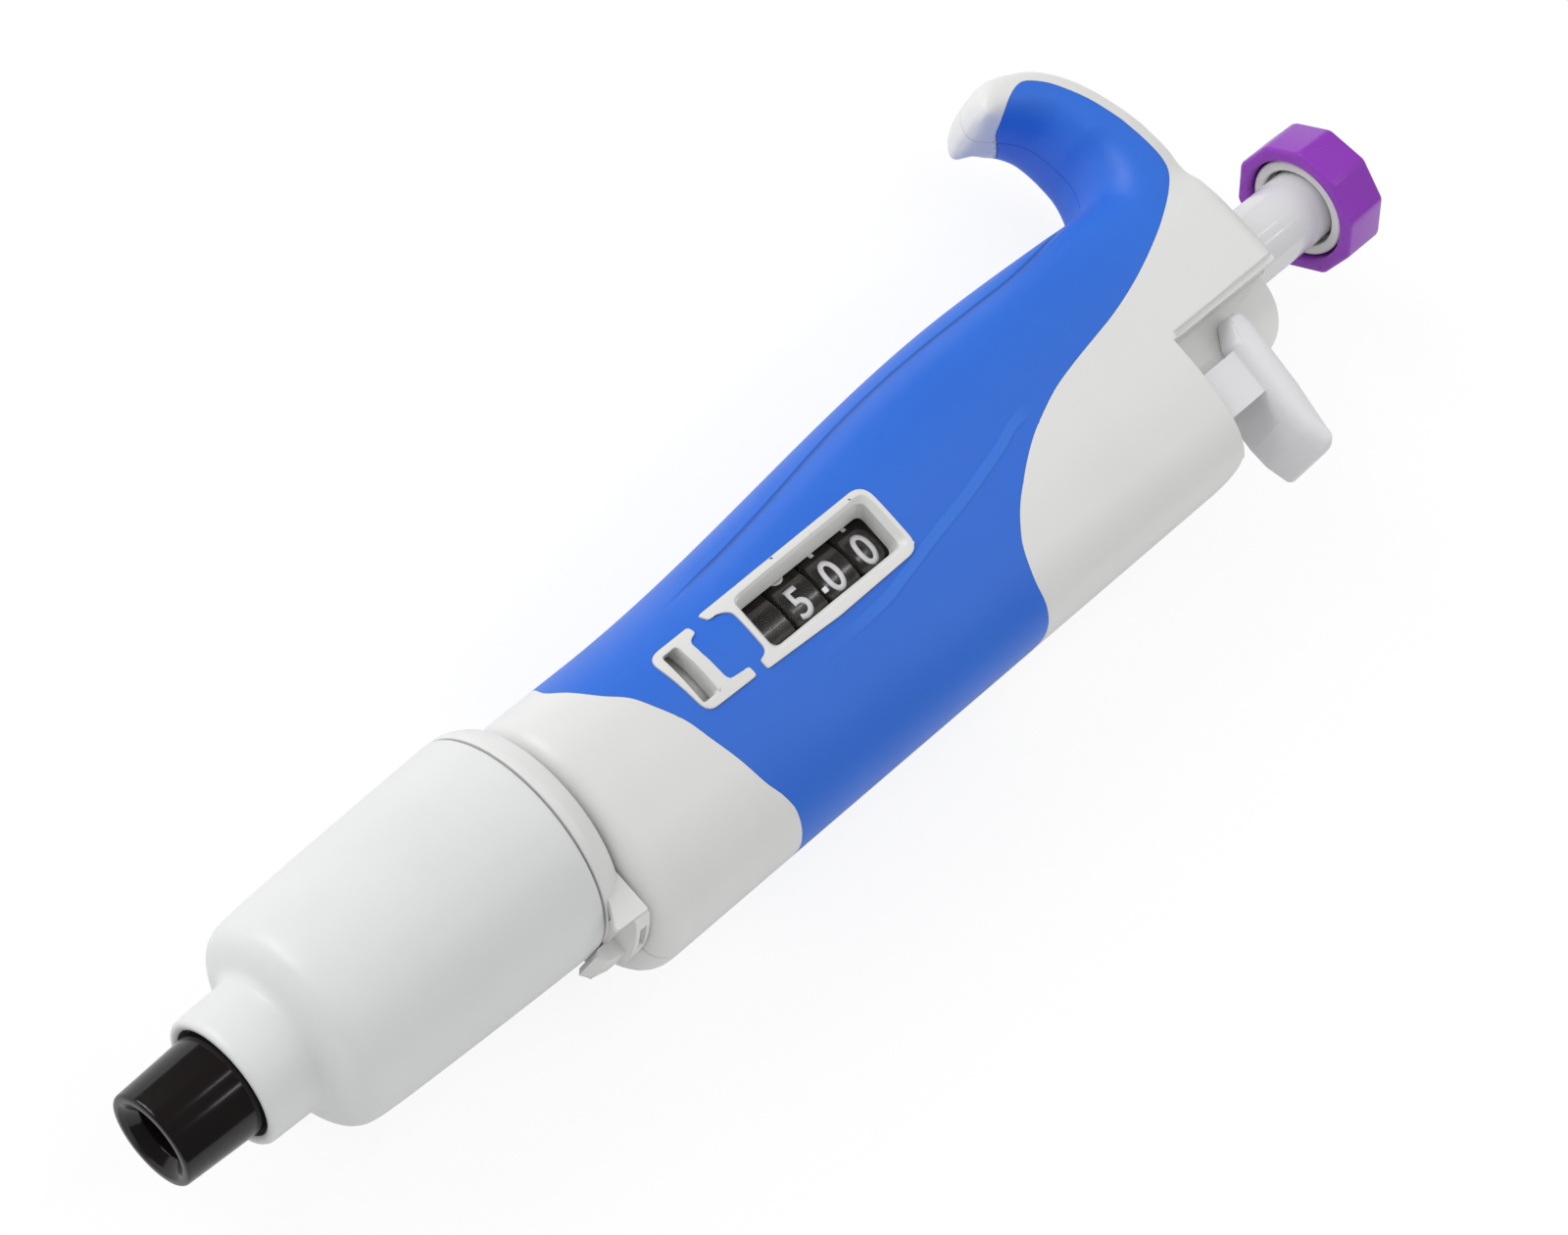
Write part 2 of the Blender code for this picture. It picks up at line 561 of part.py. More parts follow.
def make_handle(white, blue, clear, steel):
    """Makes both shells, both grip mouldings, the two bezels, the window and the case screws."""
    grip_area = grip_outline()
    recess_area = grown(grip_area, GAP)
    well_low = on_handle((WINDOW_LOW,))[0]
    well_high = on_handle((WINDOW_HIGH,))[0]
    draft = WINDOW_DRAFT * MM
    slot_low = on_handle((DIAL_SLOT_LOW,))[0]
    slot_high = on_handle((DIAL_SLOT_HIGH,))[0]
    neck_x = HANDLE_END - NECK_LENGTH + 2.0 * MM
    corner = [(neck_x, -FAR), (neck_x, -NECK_SIDE)]
    centre = (HANDLE_END - NECK_CORNER - NECK_STEP, NECK_CORNER - NECK_SIDE)
    for step in range(9):
        angle = math.radians(-90 + 90 * step / 8)
        corner.append((centre[0] + NECK_CORNER * math.cos(angle), centre[1] + NECK_CORNER * math.sin(angle)))
    corner += [(HANDLE_END + FAR, centre[1]), (HANDLE_END + FAR, -FAR)]
    halves = (("front", 1.0), ("back", -1.0))
    for side, sign in halves:
        low = GAP / 2 if sign > 0 else -FAR
        high = FAR if sign > 0 else -GAP / 2
        shell = handle_body(f"handle_{side}_shell", 0.0, white)
        half = box(f"{side}_half", (-FAR, -FAR, low), (TOTAL_LENGTH + FAR, FAR, high))
        combine(shell, half, "INTERSECT")
        recess = prism(f"{side}_recess", recess_area, low - GAP, high + GAP)
        combine(recess, handle_body(f"{side}_recess_floor", GRIP_WALL + GAP))
        combine(shell, recess)
        combine(shell, cavity(f"{side}_hollow"))
        core_hole = turned(
            f"{side}_core_hole",
            ((HANDLE_START - FAR, 0.0), (HANDLE_START - FAR, CORE_RADIUS + GAP),
             (CAVITY_START + GAP, CORE_RADIUS + GAP), (CAVITY_START + GAP, 0.0)),
        )
        combine(shell, core_hole)
        bore = turned(
            f"{side}_stem_hole",
            ((GUIDE_START - GAP, 0.0), (GUIDE_START - GAP, STEM_RADIUS + GAP),
             (HANDLE_END + FAR, STEM_RADIUS + GAP), (HANDLE_END + FAR, 0.0)),
        )
        combine(shell, bore)
        rod_hole = turned(
            f"{side}_rod_hole",
            ((HANDLE_START - FAR, 0.0), (HANDLE_START - FAR, EJECTOR_ROD_RADIUS + GAP),
             (EJECTOR_SEAT_END + GAP, EJECTOR_ROD_RADIUS + GAP), (EJECTOR_SEAT_END + GAP, 0.0)),
            steps=SMALL_SIDES, centre=(-EJECTOR_ROD_SIDE, 0.0),
        )
        combine(shell, rod_hole)
        combine(shell, prism(f"{side}_neck_cut", corner, -FAR * 2, FAR * 2))
        for index, (x, y) in enumerate(on_handle(SCREW_PLACES)):
            top = SCREW_BITE + 1.0 * MM if sign > 0 else 0.0
            bottom = 0.0 if sign > 0 else -FAR
            radius = SCREW_SHANK_RADIUS + GAP
            drill = cross_drilling(f"{side}_drill_{index}", radius, x, y, bottom - GAP, top + GAP)
            combine(shell, drill)
            if sign < 0:
                sink = cross_drilling(
                    f"sink_{index}", SCREW_HEAD_RADIUS + GAP, x, y, -FAR,
                    SCREW_DEPTH + SCREW_HEAD_LENGTH - HANDLE_BACK + GAP,
                )
                combine(shell, sink)
        if sign > 0:
            bay = box(
                "lever_bay",
                (HANDLE_END - NECK_LENGTH, -FAR, BAY_FLOOR), (HANDLE_END + FAR, -BAY_SIDE, FAR),
            )
            combine(shell, bay)
            slit = box(
                "lever_slit",
                (LEVER_BLOCK_START - EJECTOR_TRAVEL - GAP, LEVER_ARM_SIDE - GAP, LEVER_ARM_BOTTOM - GAP),
                (HANDLE_END - NECK_LENGTH + 2.0 * MM, LEVER_ARM_SIDE + LEVER_ARM_WIDTH + GAP, LEVER_ARM_TOP + GAP),
            )
            combine(shell, slit)
            grow = WINDOW_WALL + GAP
            opening = box(
                "window_opening",
                (well_low[0] - grow, well_low[1] - grow, 0.0), (well_high[0] + grow, well_high[1] + grow, FAR),
            )
            combine(shell, opening)
            slot = box("dial_opening", (*slot_low, 0.0), (*slot_high, FAR))
            combine(shell, slot)

        grip = handle_body(f"grip_{side}", 0.0, blue)
        area = prism(f"{side}_grip_area", grip_area, low, high)
        combine(grip, area, "INTERSECT")
        combine(grip, handle_body(f"{side}_grip_floor", GRIP_WALL))
        if sign < 0:
            for index, (x, y) in enumerate(on_handle(SCREW_PLACES)):
                radius = SCREW_HEAD_RADIUS + 2 * GAP
                combine(grip, cross_drilling(f"grip_sink_{index}", radius, x, y, -FAR, -GAP))
        if sign > 0:
            for label, outline in (("display", BEZEL_OUTLINE), ("dial", DIAL_BEZEL_OUTLINE)):
                gap_area = grown(on_handle(outline), GAP)
                combine(grip, prism(f"{label}_bezel_hole", gap_area, 0.0, FAR))

    for name, outline in (("display_bezel", BEZEL_OUTLINE), ("dial_bezel", DIAL_BEZEL_OUTLINE)):
        bezel = handle_body(name, -BEZEL_PROUD, white)
        combine(bezel, prism(name + "_area", on_handle(outline), 0.0, FAR), "INTERSECT")
        combine(bezel, handle_body(name + "_floor", GRIP_WALL))
        if name == "display_bezel":
            wall = box(
                "window_wall",
                (well_low[0] - WINDOW_WALL, well_low[1] - WINDOW_WALL, WINDOW_FLOOR),
                (well_high[0] + WINDOW_WALL, well_high[1] + WINDOW_WALL, HANDLE_FRONT_LOW - 0.9 * MM),
            )
            combine(bezel, wall, "UNION")
            rings = []
            for height, draw in ((WINDOW_FLOOR - GAP, draft), (HANDLE_FRONT_LOW + 1.0 * MM, 0.0)):
                rings.append([
                    (well_low[0] + draw, well_low[1] + draw, height),
                    (well_high[0] - draw, well_low[1] + draw, height),
                    (well_high[0] - draw, well_high[1] - draw, height),
                    (well_low[0] + draw, well_high[1] - draw, height),
                ])
            combine(bezel, loft("window_well", rings))
        else:
            combine(bezel, box("dial_slot", (*slot_low, 0.0), (*slot_high, FAR)))
    inside = draft + GAP
    box(
        "display_window",
        (well_low[0] + inside, well_low[1] + inside, WINDOW_FLOOR + GAP),
        (well_high[0] - inside, well_high[1] - inside, WINDOW_FLOOR + GAP + LENS_THICKNESS),
        clear,
    )
    names = ("case_screw_lower", "case_screw_middle", "case_screw_upper")
    for name, (x, y) in zip(names, on_handle(SCREW_PLACES)):
        head = SCREW_DEPTH - HANDLE_BACK
        work = bmesh.new()
        profile = (
            (head, 0.0), (head, SCREW_HEAD_RADIUS), (head + SCREW_HEAD_LENGTH, SCREW_HEAD_RADIUS),
            (head + SCREW_HEAD_LENGTH, SCREW_SHANK_RADIUS), (SCREW_BITE, SCREW_SHANK_RADIUS), (SCREW_BITE, 0.0),
        )
        add_turned(work, profile, SMALL_SIDES)
        for vertex in work.verts:
            along, across, upright = vertex.co
            vertex.co = (x + across, y + upright, along)
        mesh_object(name, work, steel)


def make_lower_end(black, white, pale):
    """Makes the cone, filter, cylinder, nut, sleeve and ejector ring."""
    flange_start = CONE_LENGTH - CONE_FLANGE_LENGTH
    shoulder_start = flange_start - (CYLINDER_RADIUS - CONE_TOP_RADIUS)
    bore_end = SLEEVE_START + FILTER_LENGTH
    cone = (
        (0.0, CONE_MOUTH_RADIUS - CONE_RIM_ROUND),
        (0.25 * CONE_RIM_ROUND, CONE_MOUTH_RADIUS - 0.3 * CONE_RIM_ROUND),
        (CONE_RIM_ROUND, CONE_MOUTH_RADIUS),
        (SLEEVE_START, CONE_TOP_RADIUS),
        (shoulder_start, CONE_TOP_RADIUS),
        (flange_start, CYLINDER_RADIUS),
        (CONE_LENGTH, CYLINDER_RADIUS),
        (CONE_LENGTH, CONE_THROAT_RADIUS),
        (bore_end, CONE_THROAT_RADIUS),
        (bore_end, CONE_BORE_RADIUS),
        (1.6 * MM, CONE_BORE_RADIUS),
        (0.4 * MM, CONE_MOUTH_RADIUS - CONE_RIM_ROUND - 0.6 * MM),
    )
    turned("tip_cone", cone, black)
    filter_end = bore_end - GAP
    filter_start = filter_end - FILTER_LENGTH
    filter_radius = CONE_BORE_RADIUS - GAP
    turned(
        "cone_filter",
        ((filter_start, 0.0), (filter_start, filter_radius), (filter_end, filter_radius), (filter_end, 0.0)),
        pale, SMALL_SIDES,
    )
    flange = CYLINDER_END - CYLINDER_FLANGE_LENGTH
    turned("piston_cylinder", (
        (CYLINDER_START, CYLINDER_BORE_RADIUS), (CYLINDER_START, CYLINDER_RADIUS), (flange, CYLINDER_RADIUS),
        (flange, FLANGE_RADIUS), (CYLINDER_END, FLANGE_RADIUS), (CYLINDER_END, CYLINDER_BORE_RADIUS),
    ), pale)
    lip = NUT_START + NUT_LIP_LENGTH
    turned("union_nut", (
        (NUT_START, CYLINDER_RADIUS + GAP), (NUT_START, NUT_RADIUS), (NUT_END, NUT_RADIUS),
        (NUT_END, CORE_RADIUS + GAP), (CORE_START + GAP, CORE_RADIUS + GAP),
        (CORE_START + GAP, FLANGE_RADIUS + GAP), (lip, FLANGE_RADIUS + GAP), (lip, CYLINDER_RADIUS + GAP),
    ), pale)

    collar_end = SLEEVE_START + COLLAR_LENGTH
    body_start = collar_end + SHOULDER_LENGTH
    low_radius = SLEEVE_RADIUS - SLEEVE_TAPER
    middle = (body_start + SLEEVE_END) / 2
    outside = [
        (SLEEVE_START, COLLAR_RADIUS - 0.7 * MM), (SLEEVE_START + 0.6 * MM, COLLAR_RADIUS - 0.1 * MM),
        (collar_end, COLLAR_RADIUS + 0.2 * MM), (collar_end + 1.1 * MM, COLLAR_RADIUS + 1.2 * MM),
        (collar_end + 1.6 * MM, (COLLAR_RADIUS + low_radius) / 2),
        (collar_end + 3.4 * MM, low_radius - 0.9 * MM), (body_start, low_radius),
        (middle, low_radius + 0.62 * SLEEVE_TAPER), (SLEEVE_END, SLEEVE_RADIUS),
    ]
    inside = [
        (SLEEVE_END, SLEEVE_RADIUS - SLEEVE_WALL),
        (middle, low_radius + 0.62 * SLEEVE_TAPER - SLEEVE_WALL),
        (body_start + 0.5 * MM, low_radius - SLEEVE_WALL),
        (collar_end + 3.4 * MM + 0.7 * MM, low_radius - 0.9 * MM - SLEEVE_WALL),
        (collar_end + 1.6 * MM + SLEEVE_WALL, COLLAR_RADIUS + 0.2 * MM - SLEEVE_WALL),
        (SLEEVE_START + 0.3 * MM, COLLAR_RADIUS - SLEEVE_WALL),
    ]
    turned("ejector_sleeve", outside + inside, white)

    spigot = SPIGOT_RADIUS
    ring_top = SLEEVE_RADIUS - RING_ROUND
    spigot_start = SLEEVE_END - SPIGOT_LENGTH
    ring = turned("ejector_ring", (
        (spigot_start, spigot - SPIGOT_WALL), (spigot_start, spigot), (RING_START, spigot),
        (RING_START, SLEEVE_RADIUS), (RING_START + 0.25 * RING_LENGTH, SLEEVE_RADIUS - 0.05 * MM),
        (RING_START + 0.6 * RING_LENGTH, SLEEVE_RADIUS - 0.35 * RING_ROUND),
        (RING_START + 0.88 * RING_LENGTH, SLEEVE_RADIUS - 0.8 * RING_ROUND), (RING_END, ring_top - 0.3 * MM),
        (RING_END, ring_top - 1.2 * MM), (RING_START + 0.3 * RING_LENGTH, spigot - SPIGOT_WALL),
    ), white)
    reach = -SLEEVE_RADIUS - LUG_REACH
    root = GAP - SLEEVE_RADIUS
    lug_start = RING_END - LUG_LENGTH
    outline = [
        (RING_START, root + 1.5 * MM), (RING_START, root - 0.3 * MM), (lug_start + 1.0 * MM, root - 0.3 * MM),
        (lug_start, root - 1.0 * MM), (lug_start + 1.2 * MM, reach + 0.6 * MM), (RING_START + 1.0 * MM, reach),
        (RING_END, reach), (RING_END, root + 1.5 * MM),
    ]
    lug = prism("ejector_lug", outline, -LUG_WIDTH / 2, LUG_WIDTH / 2)
    combine(ring, lug, "UNION")
    seat = turned(
        "rod_seat",
        ((RING_END - 3.0 * MM, 0.0), (RING_END - 3.0 * MM, EJECTOR_ROD_RADIUS + GAP),
         (RING_END + FAR, EJECTOR_ROD_RADIUS + GAP), (RING_END + FAR, 0.0)),
        steps=SMALL_SIDES, centre=(-EJECTOR_ROD_SIDE, 0.0),
    )
    combine(ring, seat)


def make_plunger(white, pale, steel, brass, rubber):
    """Makes the core tube, the piston, its springs, the stop plate, the spindle and the stem."""
    flange = CAVITY_START + 2 * GAP
    bore = CORE_BORE_RADIUS
    turned("core_tube", (
        (CORE_START, ROD_RADIUS + GAP), (CORE_START, CORE_RADIUS), (flange, CORE_RADIUS),
        (flange, CORE_RADIUS + CORE_FLANGE), (flange + CORE_FLANGE_LENGTH, CORE_RADIUS + CORE_FLANGE),
        (flange + CORE_FLANGE_LENGTH, CORE_RADIUS), (CORE_END, CORE_RADIUS), (CORE_END, bore),
        (BLOWOUT_SEAT - GAP, bore), (BLOWOUT_SEAT - GAP, ROD_RADIUS + GAP),
    ), pale)
    cap_start = PLATE_END + GAP
    inner = PRIMARY_SPRING_RADIUS + PRIMARY_WIRE_RADIUS + 2 * GAP
    turned("core_cap", (
        (cap_start, inner), (cap_start, bore - GAP), (cap_start + CORE_CAP_LENGTH, bore - GAP),
        (cap_start + CORE_CAP_LENGTH, inner),
    ), pale)
    turned("first_stop_plate", (
        (PLATE_START, ROD_RADIUS + GAP), (PLATE_START, bore - GAP), (PLATE_END, bore - GAP),
        (PLATE_END, ROD_RADIUS + GAP),
    ), steel)
    coil(
        "blowout_spring", BLOWOUT_SEAT, PLATE_START - GAP, BLOWOUT_SPRING_RADIUS,
        BLOWOUT_WIRE_RADIUS, BLOWOUT_TURNS, steel,
    )
    coil(
        "primary_spring", PLATE_END + GAP, ROD_COLLAR_START - GAP, PRIMARY_SPRING_RADIUS,
        PRIMARY_WIRE_RADIUS, PRIMARY_TURNS, steel,
    )
    groove = PISTON_RADIUS - SEAL_WIDTH - GAP / 2
    groove_start = PISTON_START + 0.3 * PISTON_LENGTH
    groove_end = groove_start + SEAL_WIDTH + 2 * GAP
    seat = PISTON_END - ROD_SEAT_DEPTH
    turned("piston_head", (
        (PISTON_START, 0.0), (PISTON_START, PISTON_RADIUS - 0.6 * MM), (PISTON_START + 0.6 * MM, PISTON_RADIUS),
        (groove_start, PISTON_RADIUS), (groove_start, groove), (groove_end, groove),
        (groove_end, PISTON_RADIUS), (PISTON_END, PISTON_RADIUS), (PISTON_END, ROD_RADIUS + GAP),
        (seat, ROD_RADIUS + GAP), (seat, 0.0),
    ), pale)
    seal_profile = []
    seal_centre = (groove_start + groove_end) / 2
    seal_radius = groove + GAP / 2 + SEAL_WIDTH / 2
    for step in range(8):
        angle = -2 * math.pi * step / 8
        x = seal_centre + SEAL_WIDTH / 2 * math.cos(angle)
        seal_profile.append((x, seal_radius + SEAL_WIDTH / 2 * math.sin(angle)))
    turned("piston_seal", seal_profile, rubber)
    rod_start = seat + GAP
    turned("piston_rod", (
        (rod_start, 0.0), (rod_start, ROD_RADIUS), (ROD_COLLAR_START, ROD_RADIUS),
        (ROD_COLLAR_START, ROD_COLLAR_RADIUS), (ROD_END, ROD_COLLAR_RADIUS), (ROD_END, 0.0),
    ), steel, 20)
    turned("volume_spindle", (
        (SPINDLE_START, 0.0), (SPINDLE_START, SPINDLE_RADIUS), (STEM_END - 2.0 * MM, SPINDLE_RADIUS),
        (STEM_END - 2.0 * MM, 0.0),
    ), steel, 20)
    nut_start = TRAVEL_NUT_START
    nut_end = nut_start + TRAVEL_NUT_LENGTH
    turned("travel_nut", (
        (nut_start, SPINDLE_RADIUS + GAP), (nut_start, TRAVEL_NUT_RADIUS), (nut_end, TRAVEL_NUT_RADIUS),
        (nut_end, SPINDLE_RADIUS + GAP),
    ), brass, 24)
    turned("plunger_stem", (
        (STEM_START, SPINDLE_RADIUS + GAP), (STEM_START, STEM_RADIUS), (STEM_END, STEM_RADIUS),
        (STEM_END, SPINDLE_RADIUS + GAP),
    ), white)


def decagon(x, radius):
    """Gives one ten-sided section of the button."""
    ring = []
    for side in range(BUTTON_SIDES):
        angle = BUTTON_TURN + 2 * math.pi * side / BUTTON_SIDES
        ring.append((x, radius * math.cos(angle), radius * math.sin(angle)))
    return ring


def make_button(purple, white):
    """Makes the ten-sided button, its insert ring and its cap."""
    bevel = 0.5 * MM
    shell = loft("push_button", [
        decagon(BUTTON_START, BUTTON_CORNER_RADIUS - bevel), decagon(BUTTON_START + bevel, BUTTON_CORNER_RADIUS),
        decagon(TOTAL_LENGTH - bevel, BUTTON_CORNER_RADIUS), decagon(TOTAL_LENGTH, BUTTON_CORNER_RADIUS - bevel),
    ], purple)
    flat = BUTTON_CORNER_RADIUS * math.cos(math.pi / BUTTON_SIDES)
    cup = flat - BUTTON_RIM
    hollow = turned("button_hollow", (
        (BUTTON_START - FAR, 0.0), (BUTTON_START - FAR, cup + 0.5 * MM), (BUTTON_START - GAP, cup + 0.5 * MM),
        (BUTTON_START + 0.6 * MM, cup), (BUTTON_CAVITY_END, cup), (BUTTON_CAVITY_END, 0.0),
    ))
    combine(shell, hollow)
    cap_start = TOTAL_LENGTH - BUTTON_CAP_LENGTH
    recess = turned("cap_recess", (
        (cap_start - GAP, 0.0), (cap_start - GAP, BUTTON_CAP_RADIUS + GAP),
        (TOTAL_LENGTH + FAR, BUTTON_CAP_RADIUS + GAP), (TOTAL_LENGTH + FAR, 0.0),
    ))
    combine(shell, recess)
    outer = cup - GAP
    throat = outer - INSERT_WALL
    start = BUTTON_START + 0.8 * MM
    boss = STEM_RADIUS + GAP
    turned("button_insert", (
        (start, throat), (start, outer), (STEM_END, outer), (STEM_END, boss),
        (STEM_END - 2.2 * MM, boss), (STEM_END - 2.6 * MM, throat),
    ), white)
    cap_end = TOTAL_LENGTH - 0.1 * MM
    turned("button_cap", (
        (cap_start, 0.0), (cap_start, BUTTON_CAP_RADIUS), (cap_end, BUTTON_CAP_RADIUS), (cap_end, 0.0),
    ), white)


def make_counter(white, black, pale, steel):
    """Makes the counter's frame, wheels, drive sleeve, transfer pinions and the calibration dial."""
    bore = WHEEL_BORE_RADIUS
    names = ("blank_wheel", "ones_wheel", "tenths_wheel", "hundredths_wheel")
    for index, name in enumerate(names):
        low = COUNTER_START + index * WHEEL_PITCH
        high = low + WHEEL_WIDTH
        turned(name, ((low, bore), (low, WHEEL_RADIUS), (high, WHEEL_RADIUS), (high, bore)), black)
    plate_low = COUNTER_START - GAP - FRAME_PLATE
    plate_high = COUNTER_END
    plate_radius = WHEEL_RADIUS - 0.4 * MM
    drive_end = plate_high + FRAME_PLATE + GAP
    turned("counter_drive_sleeve", (
        (plate_low, DRIVE_BORE_RADIUS), (plate_low, bore - GAP), (drive_end, bore - GAP),
        (drive_end, DRIVE_BORE_RADIUS),
    ), pale, 24)
    frame = turned("counter_frame", (
        (plate_low, bore), (plate_low, plate_radius), (plate_low + FRAME_PLATE, plate_radius),
        (plate_low + FRAME_PLATE, bore),
    ), pale)
    other = turned("frame_far_plate", (
        (plate_high, bore), (plate_high, plate_radius), (plate_high + FRAME_PLATE, plate_radius),
        (plate_high + FRAME_PLATE, bore),
    ))
    combine(frame, other, "UNION")
    bar_top = -WHEEL_RADIUS - 2 * GAP
    bar_bottom = bar_top - FRAME_BAR_HEIGHT
    for label, plate in (("near", plate_low), ("far", plate_high)):
        low = plate + 0.1 * MM
        high = plate + FRAME_PLATE - 0.1 * MM
        leg = box(
            f"frame_leg_{label}", (low, -FRAME_BAR_WIDTH / 2, bar_bottom + 0.1 * MM),
            (high, FRAME_BAR_WIDTH / 2, -bore - 1.0 * MM),
        )
        combine(frame, leg, "UNION")
        ear = box(
            f"frame_ear_{label}", (low, -PINION_SIDE - 2 * PINION_AXLE_RADIUS - GAP, -PINION_RADIUS),
            (high, -bore - 1.0 * MM, PINION_RADIUS),
        )
        combine(frame, ear, "UNION")
    bar = box(
        "frame_bar", (plate_low, -FRAME_BAR_WIDTH / 2 + 0.1 * MM, bar_bottom),
        (plate_high + FRAME_PLATE, FRAME_BAR_WIDTH / 2 - 0.1 * MM, bar_top),
    )
    combine(frame, bar, "UNION")
    axle_hole = turned("axle_hole", (
        (plate_low - FAR, 0.0), (plate_low - FAR, PINION_AXLE_RADIUS + GAP),
        (plate_high + FAR, PINION_AXLE_RADIUS + GAP), (plate_high + FAR, 0.0),
    ), steps=SMALL_SIDES, centre=(-PINION_SIDE, 0.0))
    combine(frame, axle_hole)
    turned("pinion_axle", (
        (plate_low, 0.0), (plate_low, PINION_AXLE_RADIUS), (plate_high + FRAME_PLATE, PINION_AXLE_RADIUS),
        (plate_high + FRAME_PLATE, 0.0),
    ), steel, SMALL_SIDES, (-PINION_SIDE, 0.0))
    joints = ((1, "ones_pinion"), (2, "tenths_pinion"))
    for index, name in joints:
        middle = COUNTER_START + (index + 1) * WHEEL_PITCH - GAP / 2
        make_pinion(name, middle - PINION_LENGTH / 2, middle + PINION_LENGTH / 2, pale)
    dial_start = HANDLE_START + DIAL_OFFSET
    dial_end = dial_start + DIAL_LENGTH
    turned("calibration_dial", (
        (dial_start, DIAL_BORE_RADIUS), (dial_start, DIAL_RADIUS), (dial_end, DIAL_RADIUS),
        (dial_end, DIAL_BORE_RADIUS),
    ), white)


def make_pinion(name, low, high, material):
    """Makes one small toothed transfer pinion beside the wheels."""
    points = []
    for tooth in range(PINION_TEETH):
        for share, radius in ((0.0, PINION_RADIUS), (0.3, PINION_RADIUS), (0.45, PINION_OUTER_RADIUS),
                              (0.85, PINION_OUTER_RADIUS)):
            angle = 2 * math.pi * (tooth + share) / PINION_TEETH
            points.append((radius * math.cos(angle), radius * math.sin(angle)))
    rings = [[(x, y - PINION_SIDE, z) for y, z in points] for x in (low, high)]
    pinion = loft(name, rings, material)
    hole = turned(name + "_hole", (
        (low - FAR, 0.0), (low - FAR, PINION_AXLE_RADIUS + GAP), (high + FAR, PINION_AXLE_RADIUS + GAP),
        (high + FAR, 0.0),
    ), steps=SMALL_SIDES, centre=(-PINION_SIDE, 0.0))
    combine(pinion, hole)


def make_ejector(grey, steel):
    """Makes the ejector rod, its spring and the thumb lever."""
    side = -EJECTOR_ROD_SIDE
    rod_start = RING_END - 3.0 * MM + GAP
    rod_end = LEVER_BLOCK_START + 5.0 * MM
    collar_end = EJECTOR_COLLAR_START + EJECTOR_COLLAR_LENGTH
    radius = EJECTOR_ROD_RADIUS
    turned("ejector_rod", (
        (rod_start, 0.0), (rod_start, radius), (EJECTOR_COLLAR_START, radius),
        (EJECTOR_COLLAR_START, EJECTOR_COLLAR_RADIUS), (collar_end, EJECTOR_COLLAR_RADIUS),
        (collar_end, radius), (rod_end, radius), (rod_end, 0.0),
    ), steel, SMALL_SIDES, (side, 0.0))
    coil(
        "ejector_spring", EJECTOR_SEAT_END + GAP, EJECTOR_COLLAR_START - GAP, EJECTOR_SPRING_RADIUS,
        EJECTOR_WIRE_RADIUS, EJECTOR_SPRING_TURNS, steel, EJECTOR_ROD_SIDE,
    )
    arm_low = LEVER_ARM_SIDE
    arm_high = arm_low + LEVER_ARM_WIDTH
    lever = box(
        "ejector_lever", (LEVER_BLOCK_START, arm_low, LEVER_ARM_BOTTOM),
        (LEVER_PAD_START + 1.0 * MM, arm_high, LEVER_ARM_TOP), grey,
    )
    half = LEVER_BLOCK_WIDTH / 2
    block_top = LEVER_ARM_BOTTOM - 2.0 * MM
    block = box("lever_block", (LEVER_BLOCK_START, side - half, -3.0 * MM), (LEVER_BLOCK_END, side + half, block_top))
    riser = box(
        "lever_riser", (LEVER_BLOCK_START + 0.1 * MM, arm_low + 0.1 * MM, block_top - 0.5 * MM),
        (LEVER_BLOCK_END - 0.1 * MM, side + half - 0.1 * MM, LEVER_ARM_BOTTOM + 0.5 * MM),
    )
    combine(lever, riser, "UNION")
    combine(lever, block, "UNION")
    outline = []
    for x, y in LEVER_PAD_ROOT:
        outline.append((LEVER_PAD_START + x * LEVER_PAD_THICKNESS, y * MM - LEVER_PAD_START_SIDE))
    for x, y in LEVER_PAD_TOE:
        outline.append((LEVER_PAD_START + x * LEVER_PAD_THICKNESS, y * MM - LEVER_REACH))
    pad = prism("lever_pad", outline, LEVER_ARM_BOTTOM, LEVER_PAD_FRONT)
    combine(lever, pad, "UNION")
    lower_side = -NECK_SIDE - 2 * GAP
    lower = [(x, min(y, lower_side)) for x, y in outline]
    skirt = prism("lever_skirt", lower_outline(lower), -LEVER_PAD_BACK, LEVER_ARM_BOTTOM + 0.5 * MM)
    combine(lever, skirt, "UNION")
    seat = turned("lever_rod_seat", (
        (LEVER_BLOCK_START - FAR, 0.0), (LEVER_BLOCK_START - FAR, radius + GAP), (rod_end + GAP, radius + GAP),
        (rod_end + GAP, 0.0),
    ), steps=SMALL_SIDES, centre=(side, 0.0))
    combine(lever, seat)


def lower_outline(points):
    """Drops the repeated points of a clipped outline and draws it in a little."""
    kept = []
    for x, y in points:
        if not kept or (Vector((x, y)) - Vector(kept[-1])).length > 0.2 * MM:
            kept.append((x, y))
    return grown(kept, -0.1 * MM)


